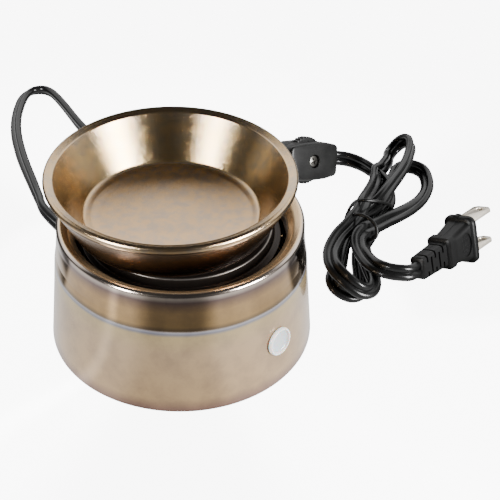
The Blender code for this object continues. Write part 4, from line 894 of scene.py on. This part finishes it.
def makePlate():
    p = plate
    made, tree, shader = newMaterial("shadedPlate")
    mapping, parts = objectPlace(tree)
    rings = node(tree, "ShaderNodeTexWave", wave_type="RINGS", rings_direction="Z")
    setInputs(rings, {"Scale": p["rings"], "Distortion": 0.4})
    skin = grain(tree, 120.0, 2500.0, 0.2, 0.00002)
    tint = ramp(tree, ((0.0, p["dark"]), (1.0, p["edgeGlint"])))
    bump = node(tree, "ShaderNodeBump", Strength=0.25, Distance=p["ringDepth"])
    join(tree, mapping, "Vector", rings, "Vector")
    # The pale ring along the top edge is a painted glint
    glintRing = between(tree, lengthOf(tree, mapping.outputs["Vector"]), *p["glintRadius"])
    glintRing = maths(tree, "MULTIPLY", glintRing, between(tree, parts.outputs["Z"], *p["glintHeight"]))
    tree.links.new(glintRing, tint.inputs["Fac"])
    join(tree, rings, "Fac", bump, "Height")
    join(tree, skin, "Normal", bump, "Normal")
    join(tree, tint, "Color", shader, "Base Color")
    join(tree, bump, "Normal", shader, "Normal")
    setInputs(shader, {"Metallic": 0.85, "Roughness": 0.36})
    inner, under = p["radius"] - p["skin"], p["top"] - p["skin"]
    outline = rounded([
        (0.0, p["top"], 0.0),
        (p["radius"], p["top"], 0.0006),
        (p["radius"] + p["draft"], p["brimTop"], 0.0008),
        (p["radius"] + p["brim"], p["brimTop"], 0.0003),
        (p["radius"] + p["brim"], p["brimLow"], 0.0),
        (inner, p["brimLow"], 0.0),
        (inner, under, 0.001),
        (p["studRadius"], under, 0.0),
        (p["studRadius"], p["studEnd"], 0.0004),
        (0.0, p["studEnd"], 0.0),
    ], 4)
    piece = finishPiece("turnedPlate", spun(outline, 140), made, "base")
    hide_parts("hot_plate")


makePlate()
say("plate")


# Indicator lens
lensLook = {
    # Darker in the middle and lighter at the rim: painted shade in the cup and a painted highlight on the rim
    "tints": ((0.0, (0.34, 0.37, 0.385)), (0.55, (0.40, 0.42, 0.43)), (1.0, (0.52, 0.52, 0.50))),
    "middle": 0.0008,
    "rim": (0.0036, 0.0043),
    "rimShare": 0.85,
    "patchShare": 0.3,
}


def makeLens():
    look = lensLook
    made, tree, shader = newMaterial("lensPlastic")
    skin = grain(tree, 200.0, 1500.0, 0.1, 0.00003)
    tint = ramp(tree, look["tints"])
    middle = node(tree, "ShaderNodeVectorMath", operation="DISTANCE")
    middle.inputs[1].default_value = lensPose @ Vector((0.0, 0.0, look["middle"]))
    join(tree, node(tree, "ShaderNodeTexCoord"), "Object", middle, 0)
    # Lighter towards the rim: a painted highlight, over painted shade in the middle
    rim = maths(tree, "MULTIPLY", between(tree, middle.outputs["Value"], *look["rim"]), look["rimShare"])
    shade = maths(tree, "MULTIPLY_ADD", skin.outputs["Patches"], look["patchShare"], rim)
    tree.links.new(shade, tint.inputs["Fac"])
    join(tree, tint, "Color", shader, "Base Color")
    join(tree, skin, "Normal", shader, "Normal")
    setInputs(shader, {"Roughness": 0.18, "Subsurface Weight": 0.5, "Subsurface Scale": 0.002})
    face = lens["gap"] + lens["flange"]
    outline = rounded([
        *[(lens["radius"] * share, face + up, bend) for share, up, bend in lens["cup"]],
        (lens["radius"], lens["gap"], 0.0),
        (lens["neck"], lens["gap"], 0.0),
        (lens["neck"], -lens["length"], 0.0003),
        (lens["bore"], -lens["length"], 0.0),
        (lens["bore"], -lens["boreTop"], 0.0),
        (0.0, -lens["boreTop"], 0.0),
    ], 5)
    piece = finishPiece("lensCup", spun(outline, 72, place=lensPose), made, "base")
    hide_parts("indicator_lens")


makeLens()
say("lens")


blackPlastic = plainMaterial(
    "blackPlastic", (0.003, 0.003, 0.003), (0.005, 0.005, 0.0048), (0.34, 0.44),
    fine=2600.0, depth=0.35, relief=0.00003, specular=0.26,
)
blackRubber = plainMaterial(
    "blackRubber", (0.010, 0.010, 0.010), (0.016, 0.016, 0.016), (0.5, 0.62), fine=2600.0, depth=0.4,
)
nickel = plainMaterial(
    "nickel", (0.70, 0.63, 0.52), (0.82, 0.75, 0.64), (0.24, 0.36),
    metallic=0.8, fine=3000.0, depth=0.15, relief=0.00002,
)
screwSteel = plainMaterial("screwSteel", (0.16, 0.155, 0.14), (0.24, 0.23, 0.21), (0.22, 0.34), metallic=1.0)


# Bush tail: rings that the cord can bend between
def makeBush():
    b = bush
    taper = b["tailRadius"] - b["endRadius"]
    pitch = b["tail"] / b["ribs"]
    corners = []
    for rib in reversed(range(b["ribs"])):
        far, near = [b["flange"] + pitch * (rib + up) for up in (1, 0)]
        radius = b["tailRadius"] - taper * (rib + 1) / b["ribs"]
        top = near + pitch * b["grooveShare"]
        corners.append((radius, far, 0.0004))
        corners.append((radius + taper / b["ribs"] / 2, top, 0.0003))
        if rib:
            corners += [(radius - b["groove"], top, 0.0), (radius - b["groove"], near, 0.0)]
    inner = -base["wall"] - b["nutGap"]
    outline = rounded([
        (0.0, b["flange"] + b["tail"], 0.0),
        *corners,
        (b["flangeRadius"], b["flange"], 0.0006),
        (b["flangeRadius"], b["gap"], 0.0002),
        (b["neck"], b["gap"], 0.0),
        (b["neck"], inner, 0.0),
        (b["flangeRadius"], inner, 0.0),
        (b["flangeRadius"], inner - b["flange"], 0.0005),
        (0.0, inner - b["flange"], 0.0),
    ], 3)
    piece = finishPiece("bushTail", spun(outline, 56, place=bushPose), blackRubber, "base")
    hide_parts("cord_bush")
    return piece


bushTail = makeBush()
say("bush")


# In-line switch
wheelSize = {"teeth": 36, "radius": 0.010, "root": 0.0095, "thickness": 0.0034, "edge": 0.00015}
screwSize = {
    "head": 0.0026,
    "shank": 0.0014,
    # Depths below the shell's face, and the height of the tip over the other face
    "crown": 0.0004,
    "rim": 0.0008,
    "seat": 0.0019,
    "tip": 0.0010,
    "slot": (0.0017, 0.00032),
    "slotDepth": 0.0009,
    "turn": math.radians(28),
}
nutSize = {"radius": 0.0028, "lift": 0.0003, "thickness": 0.0018, "edge": 0.0002}


def switchOutline():
    s = switch
    half, end, side = s["length"] / 2, s["endWidth"] / 2, s["width"] / 2
    swell = (end + side) / 2 + s["swell"]
    quarter = [(half, end - s["nick"]), (half - s["nick"], end)]
    top = quarter + [(half * 0.5, swell), (0.0, side), (-half * 0.5, swell)]
    top += [(-x, y) for x, y in reversed(quarter)]
    return top + [(-x, -y) for x, y in top]


def makeShell(name, sign, seat):
    s = switch
    face, through = s["thickness"] / 2, s["through"]
    low, high = sorted((sign * s["split"], sign * face))
    work = extruded([switchOutline()], low, high, switchPose, edge=s["edge"], segments=3)
    shell = finishPiece(name, work, blackPlastic, None, 30.0)
    radius, room = s["wheelRoom"]
    hollows = [
        extruded([circle(radius, steps=72)], -room / 2, room / 2, switchPose),
        extruded([circle(s["bore"])], -through, through, switchPose),
    ]
    radius, depth = seat
    low, high = sorted((sign * (face - depth), sign * through))
    hollows.append(extruded([circle(radius, steps=40)], low, high, switchPose))
    cut(shell, *[cutterFrom(work) for work in hollows])
    shell.data.set_sharp_from_angle(angle=math.radians(30))
    return shell


def makeWheel():
    w = wheelSize
    rim = []
    for tooth in range(w["teeth"]):
        for part in (0.0, 0.22, 0.42, 0.62, 0.82):
            r = w["radius"] if part < 0.5 else w["root"]
            turn = 2 * math.pi * (tooth + part) / w["teeth"]
            rim.append((r * math.cos(turn), r * math.sin(turn)))
    half = w["thickness"] / 2
    outlines = [rim, circle(switch["bore"], steps=24)]
    work = extruded(outlines, -half, half, switchPose, edge=w["edge"], segments=2)
    wheel = finishPiece("thumbWheel", work, blackPlastic, "switch_wheel", 30.0)
    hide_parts("switch_wheel")
    return wheel


def makeScrew():
    s = screwSize
    face = switch["thickness"] / 2
    outline = rounded([
        (0.0, face - s["crown"], 0.0),
        (s["head"], face - s["rim"], 0.0008),
        (s["head"], face - s["seat"], 0.0002),
        (s["shank"], face - s["seat"], 0.0),
        (s["shank"], s["tip"] - face, 0.0),
        (0.0, s["tip"] - face, 0.0),
    ], 5)
    screw = finishPiece("switchScrew", spun(outline, 40, place=switchPose), screwSteel, None)
    turned = switchPose @ Matrix.Rotation(s["turn"], 4, "Z")
    low, high = face - s["crown"] - s["slotDepth"], face
    bars = []
    for long, wide in (s["slot"], s["slot"][::-1]):
        bar = [(-long, -wide), (long, -wide), (long, wide), (-long, wide)]
        bars.append(cutterFrom(extruded([bar], low, high, turned)))
    cut(screw, *bars)
    screw.data.set_sharp_from_angle(angle=math.radians(35))
    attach(screw, "base")
    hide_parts("switch_screw")
    return screw


def makeNut():
    n = nutSize
    low = n["lift"] - switch["thickness"] / 2
    outlines = [circle(n["radius"], steps=6), circle(switch["bore"], steps=24)]
    work = extruded(outlines, low, low + n["thickness"], switchPose, edge=n["edge"])
    piece = finishPiece("switchNut", work, nickel, "base")
    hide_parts("switch_nut")
    return piece


def makeSwitch():
    pieces = []
    for name, cad, sign, seat in (
        ("shellFront", "switch_shell_front", 1, "headSeat"),
        ("shellBack", "switch_shell_back", -1, "nutSeat"),
    ):
        shell = makeShell(name, sign, switch[seat])
        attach(shell, "base")
        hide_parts(cad)
        pieces.append(shell)
    return pieces + [makeWheel(), makeScrew(), makeNut()]


switchPieces = makeSwitch()
say("switch")


# Black plastic of the plug, with the line where the halves of its mould met
def moulded():
    made, tree, shader = newMaterial("mouldedPlug")
    mapping, parts = objectPlace(tree)
    mapping.vector_type = "TEXTURE"
    setInputs(mapping, {"Location": plugPose.to_translation(), "Rotation": plugPose.to_euler()})
    away = maths(tree, "ABSOLUTE", parts.outputs["Y"])
    seam = node(tree, "ShaderNodeMapRange")
    setInputs(seam, {"From Min": 0.00007, "From Max": 0.00022})
    skin = grain(tree, 90.0, 2600.0, 0.35, 0.00003)
    tint = ramp(tree, ((0.0, 0.001), (1.0, 0.003)))
    crease = node(tree, "ShaderNodeBump", Strength=1.0, Distance=0.00015)
    tree.links.new(away, seam.inputs["Value"])
    join(tree, seam, "Result", tint, "Fac")
    join(tree, seam, "Result", crease, "Height")
    join(tree, skin, "Normal", crease, "Normal")
    join(tree, tint, "Color", shader, "Base Color")
    join(tree, crease, "Normal", shader, "Normal")
    setInputs(shader, {"Roughness": 0.42, "Specular IOR Level": 0.16})
    return made


# Plug: flared body, collar and slotted strain relief, two flat blades
def roundedRectangle(width, height, corner):
    points, steps = [], 6
    for quarter, (sx, sy) in enumerate(((1, 1), (-1, 1), (-1, -1), (1, -1))):
        x, y = sx * (width / 2 - corner), sy * (height / 2 - corner)
        for step in range(steps + 1):
            turn = math.pi / 2 * (quarter + step / steps)
            points.append((x + corner * math.cos(turn), y + corner * math.sin(turn)))
    return points


def lofted(sections, place):
    work = bmesh.new()
    rings = []
    for x, width, height, corner in sections:
        verts = [work.verts.new((x, y, z)) for y, z in roundedRectangle(width, height, corner)]
        rings.append([work.edges.new(pair) for pair in zip(verts, verts[1:] + verts[:1])])
    for near, far in zip(rings, rings[1:]):
        bmesh.ops.bridge_loops(work, edges=near + far)
    for ring in (rings[0], rings[-1]):
        bmesh.ops.contextual_create(work, geom=ring)
    bmesh.ops.transform(work, matrix=place, verts=work.verts)
    return work


def box(low, high, place):
    work = bmesh.new()
    size = [b - a for a, b in zip(low, high)]
    middle = [(a + b) / 2 for a, b in zip(low, high)]
    shape = Matrix.Translation(middle) @ Matrix.Diagonal((*size, 1.0))
    bmesh.ops.create_cube(work, size=1.0, matrix=place @ shape)
    return work


def plugSections(collar, flange):
    # Each section: place along the plug, width, height, corner
    p = plug
    relief, wide, tall = p["relief"]
    grown = (wide + p["growth"], tall + p["growth"])
    sections = [
        (x, size[0] - less, size[1] - less, corner)
        # Along the relief and the collar: place, full size, how much smaller, corner
        for x, size, less, corner in (
            (0.0, (wide, tall), 0.0006, 0.0012),
            (0.0003, (wide, tall), 0.0, 0.0013),
            (relief, grown, 0.0, 0.0013),
            (relief + 0.0001, p["collar"][1:], 0.0009, 0.0017),
            (relief + 0.0005, p["collar"][1:], 0.0001, 0.0019),
            (collar - 0.0004, p["collar"][1:], 0.0, 0.0019),
            (collar, p["collar"][1:], 0.0007, 0.0018),
        )
    ]
    for step in range(15):
        share = step / 14
        flare = share ** p["flare"]
        width, height = [a + (b - a) * flare for a, b in zip(p["waist"], p["shoulder"])]
        x = collar + 0.0002 + (flange - collar - 0.0004) * share
        sections.append((x, width, height, p["bodyCorner"]))
    _, wide, tall = p["flange"]
    edge = p["flangeEdge"]
    rise = [(flange + edge * share, inset) for share, inset in ((0.0, 0.9), (0.3, 0.35), (1.0, 0.0))]
    fall = [(p["length"] - edge * share, inset) for share, inset in ((1.0, 0.0), (0.3, 0.35), (0.0, 0.9))]
    for x, inset in rise + fall:
        less = 2 * edge * inset
        sections.append((x, wide - less, tall - less, p["flangeCorner"]))
    return sections


def reliefSlots():
    # Slots over and under the strain relief, turned down its flanks, and slots in the flanks between them
    p = plug
    relief, reliefWide, reliefTall = p["relief"]
    top, side = [(size + p["growth"]) / 2 for size in (reliefTall, reliefWide)]
    deep, far = p["slotDepth"], 0.01
    flankDeep, flankHigh = p["flankSlot"]
    slots = []
    for ring in range(1, p["rings"]):
        middle = relief / p["rings"] * ring
        x = (middle - p["slot"] / 2, middle + p["slot"] / 2)
        for sign in (-1, 1):
            if ring % 2:
                slots.append((x, (-far, far), sorted((sign * (top - deep), sign * far))))
                zs = sorted((sign * (top - p["wrap"]), sign * (top - deep + p["overlap"])))
                for flank in (-1, 1):
                    slots.append((x, sorted((flank * (side - p["wrapDepth"]), flank * far)), zs))
            else:
                ys = sorted((sign * (side - deep * flankDeep), sign * far))
                slots.append((x, ys, (-reliefTall * flankHigh, reliefTall * flankHigh)))
    return [box(*zip(*spans), plugPose) for spans in slots]


def makePlug():
    p = plug
    length = p["length"]
    collar, flange = p["relief"][0] + p["collar"][0], length - p["flange"][0]
    body = finishPiece("plugBody", lofted(plugSections(collar, flange), plugPose), moulded(), None, 40.0)
    hollows = reliefSlots()
    gripX, gripFlat = flange - p["gripBack"], p["waist"][0] / 2 + 0.0001
    long, tall = p["gripSize"]
    for sign in (-1, 1):
        place = plugPose @ Matrix.Translation((gripX, sign * gripFlat, 0.0))
        place = place @ Matrix.Rotation(-sign * math.pi / 2, 4, "X")
        oval = [(long * x, tall * y) for x, y in circle(1.0, steps=40)]
        hollows.append(extruded([oval], 0.0, 0.004, place))
    cut(body, *[cutterFrom(work) for work in hollows])
    body.data.set_sharp_from_angle(angle=math.radians(40))
    work = bmesh.new()
    work.from_mesh(body.data)
    flattened = Matrix.Diagonal((1.0, 0.6, 1.0, 1.0))
    across, up = p["dotPitch"]
    for sign in (-1, 1):
        for row in range(7):
            for column in range(4):
                x, z = gripX + across * (column - 1.5), up * (row - 3)
                place = plugPose @ Matrix.Translation((x, sign * gripFlat, z)) @ flattened
                bmesh.ops.create_icosphere(work, subdivisions=2, radius=p["dotRadius"], matrix=place)
    # A small tab on the flange, over the wide blade
    edge = p["flange"][2] / 2
    tab = box((flange + 0.0003, 0.0, edge - 0.001), (length - 0.0003, 0.0021, edge + 0.0003), plugPose)
    tabMesh = bpy.data.meshes.new("tab")
    tab.to_mesh(tabMesh)
    tab.free()
    work.from_mesh(tabMesh)
    bpy.data.meshes.remove(tabMesh)
    work.to_mesh(body.data)
    work.free()
    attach(body, "base")
    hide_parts("plug_body")
    wide, narrow = p["bladeWidths"]
    blades = [makeBlade("bladeWide", 1, wide), makeBlade("bladeNarrow", -1, narrow)]
    for blade, cad in zip(blades, ("plug_blade_wide", "plug_blade_narrow")):
        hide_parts(cad)
    return [body] + blades


def makeBlade(name, sign, width):
    p = plug
    tip, nick, side, half = p["bladeLength"], p["bladeNick"], width / 2, p["bladeThickness"] / 2
    lower = [(0.0, -side), (tip - nick, -side), (tip, nick - side)]
    outline = lower + [(x, -z) for x, z in reversed(lower)]
    hole = circle(p["bladeHole"], (tip - p["holeInset"], 0.0), 28)
    place = plugPose @ Matrix.Translation((p["length"] + 0.0003, 0.0, sign * p["bladeOffset"]))
    work = extruded([outline, hole], -half, half, place, edge=0.0002, segments=2)
    return finishPiece(name, work, nickel, "base")


plugPieces = makePlug()
say("plug")


# Twist tie round the hank
tieLook = {"radius": 0.0007, "sides": 10, "spacing": 0.0006}
# Its knots are in millimetres
tieRoute = [
    (77, -26.2, 9.5), (76.8, -27.5, 10.5), (77.3, -29.2, 11.5), (78.4, -29.8, 13), (79.4, -29, 14.5),
    (80.1, -27.2, 16.4), (80, -23.3, 17.8), (79, -19.1, 17.6), (81.1, -14.3, 13), (84.5, -10.7, 8),
    (88.3, -8.4, 3.5), (92.5, -7.7, 0.9), (100.3, -10, 0.9), (107.7, -12.7, 0.9), (108.4, -15.6, 3.5),
    (104.3, -17.8, 8), (98.9, -19.1, 12.5), (93, -19.1, 16.5), (87.8, -16.3, 18.4), (87.6, -12.7, 16.5),
    (88.8, -9.4, 12), (87.6, -8.6, 8.5), (87.6, -7.9, 5), (89.3, -7.5, 1.5),
]


def makeTie():
    radius, sides = tieLook["radius"], tieLook["sides"]
    route = smoothRoute([(*knot, 0.0) for knot in metres(tieRoute)], tieLook["spacing"])
    path = [p.to_3d() for p in route]
    section = [(radius * x, radius * y) for x, y in circle(1.0, steps=sides)]
    axes, side = [], Vector((0.3, 0.2, 0.9))
    for ahead in headings(path):
        side = (side - ahead * side.dot(ahead)).normalized()
        axes.append((side, ahead.cross(side)))
    tie = finishPiece("twistTie", skinned(path, axes, section), blackPlastic, "base", 60.0)
    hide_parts("cord_tie")
    return tie


twistTie = makeTie()
say("tie")


# Carried-over CAD nodes
zincSteel = plainMaterial("zincSteel", (0.42, 0.42, 0.43), (0.56, 0.56, 0.57), (0.28, 0.42), metallic=1.0)
mica = plainMaterial("mica", (0.42, 0.34, 0.20), (0.56, 0.48, 0.33), (0.5, 0.7), coarse=300.0)
silicone = plainMaterial("silicone", (0.05, 0.05, 0.05), (0.08, 0.08, 0.08), (0.5, 0.6))
glassSleeve = plainMaterial(
    "glassSleeve", (0.62, 0.61, 0.57), (0.78, 0.77, 0.73), (0.7, 0.85), fine=3500.0, depth=0.7, relief=0.0001,
)
lampGlass = plainMaterial("lampGlass", (0.75, 0.60, 0.50), (0.85, 0.72, 0.62), (0.1, 0.15))
looks = {
    "zinc_steel": zincSteel,
    "mica": mica,
    "silicone": silicone,
    "wire_sleeve": glassSleeve,
    "lens_plastic": lampGlass,
    "black_plastic": blackPlastic,
    "black_rubber": blackRubber,
    "cord_black": cordBlack,
    "nickel": nickel,
}
for part in frame["record"]["subparts"]:
    carried = frame["nodes"][part["node"]]
    if not carried.hide_render:
        carried.data.materials.clear()
        carried.data.materials.append(looks[part["material_slot"]])
say("carried nodes")


# Floor, lights and world
stage = {
    "size": 3.0,
    "seen": 8.0,
    "albedo": 0.05,
    "glow": 1.25,
    # Limits as cosines of the turn from the camera's side, then as metres from the middle
    "front": (0.84, 0.97),
    "flankFront": (0.0, -0.12),
    "flankBack": (-0.80, -0.68),
    "flankReach": (0.080, 0.092),
    "far": (0.135, 0.22),
    "frontLoss": 0.87,
    "flankLoss": 0.95,
    "farLoss": 0.72,
    # Brighter lobes in front: sine of the turn to the camera's right, half width, gain
    "lobes": ((-0.72, 0.08, 0.9), (0.76, 0.14, 0.2)),
    "lobeFront": (0.0, 0.3),
}
studio = {"behind": (-0.08, 0.42), "rise": (0.08, 0.30), "fade": (0.74, 0.61), "band": 2.4, "rest": 0.05}
# Each strip: name, turn from the camera's side in degrees, size, power
strips = (
    ("leftStrip", -44, (0.22, 0.40), 20.0),
    ("rightStrip", 61, (0.31, 0.40), 33.0),
)
stripTilt, stripDistance, stripAim = 20, 0.9, (0.0, 0.0, 0.03)


def makeStage():
    # Reflections see a floor that is dark in front, dark again at the flanks, and dims with distance
    made, tree, shader = newMaterial("paleFloor")
    grey = (*[stage["albedo"]] * 3, 1.0)
    setInputs(shader, {"Base Color": grey, "Roughness": 0.9, "Specular IOR Level": 0.0})
    place = node(tree, "ShaderNodeTexCoord").outputs["Object"]
    reach = lengthOf(tree, place)
    front = maths(tree, "DIVIDE", along(tree, place, tuple(-viewAway)), maths(tree, "ADD", reach, 0.0001))
    aside = maths(tree, "DIVIDE", along(tree, place, tuple(viewRight)), maths(tree, "ADD", reach, 0.0001))
    middle = between(tree, front, *stage["front"])
    flank = between(tree, front, *stage["flankFront"])
    flank = maths(tree, "MULTIPLY", flank, between(tree, front, *stage["flankBack"]))
    flank = maths(tree, "MULTIPLY", flank, between(tree, reach, *stage["flankReach"]))
    far = between(tree, reach, *stage["far"])
    level = maths(tree, "MULTIPLY_ADD", middle, -stage["frontLoss"], 1.0)
    for share, loss in ((flank, "flankLoss"), (far, "farLoss")):
        level = maths(tree, "MULTIPLY", level, maths(tree, "MULTIPLY_ADD", share, -stage[loss], 1.0))
    for side, width, gain in stage["lobes"]:
        off = maths(tree, "ABSOLUTE", maths(tree, "SUBTRACT", aside, side))
        lobe = between(tree, off, width, 0.0)
        lobe = maths(tree, "MULTIPLY", lobe, between(tree, front, *stage["lobeFront"]))
        level = maths(tree, "MULTIPLY", level, maths(tree, "MULTIPLY_ADD", lobe, gain, 1.0))
    level = maths(tree, "MULTIPLY", level, stage["glow"])
    seen = node(tree, "ShaderNodeLightPath").outputs["Is Camera Ray"]
    level = maths(tree, "MULTIPLY_ADD", seen, stage["seen"], level)
    shader.inputs["Emission Color"].default_value = (1.0, 1.0, 1.0, 1.0)
    tree.links.new(level, shader.inputs["Emission Strength"])
    work = bmesh.new()
    bmesh.ops.create_grid(work, x_segments=1, y_segments=1, size=stage["size"])
    floor = finishPiece("floor", work, made, None)


def around(turn, tilt, distance):
    # A place seen from the object: turn is measured from the camera's side, towards its right
    turn, tilt = math.radians(turn), math.radians(tilt)
    flat = -viewAway * math.cos(turn) + viewRight * math.sin(turn)
    return flat * (distance * math.cos(tilt)) + Vector((0.0, 0.0, distance * math.sin(tilt)))


def makeLights():
    for name, turn, size, power in strips:
        data = bpy.data.lights.new(name, "AREA")
        data.shape = "RECTANGLE"
        data.size, data.size_y = size
        data.energy = power
        made = placed(name, data)
        place = around(turn, stripTilt, stripDistance)
        toward = (Vector(stripAim) - place).normalized()
        facing = toward.to_track_quat("-Z", "Y").to_matrix().to_4x4()
        made.matrix_world = Matrix.Translation(place) @ facing


def makeWorld():
    # A bright band behind the object, dark overhead and in front
    world = bpy.data.worlds.new("studio")
    world.use_nodes = True
    tree = world.node_tree
    background = tree.nodes["Background"]
    background.inputs["Color"].default_value = (1.0, 1.0, 1.0, 1.0)
    toward = node(tree, "ShaderNodeTexCoord").outputs["Generated"]
    up = along(tree, toward, (0.0, 0.0, 1.0))
    behind = between(tree, along(tree, toward, tuple(viewAway)), *studio["behind"])
    band = maths(tree, "MULTIPLY", between(tree, up, *studio["rise"]), between(tree, up, *studio["fade"]))
    band = maths(tree, "MULTIPLY", band, behind)
    level = maths(tree, "MULTIPLY_ADD", band, studio["band"], studio["rest"])
    tree.links.new(level, background.inputs["Strength"])
    bpy.context.scene.world = world


makeWorld()
makeStage()
makeLights()
say("stage")
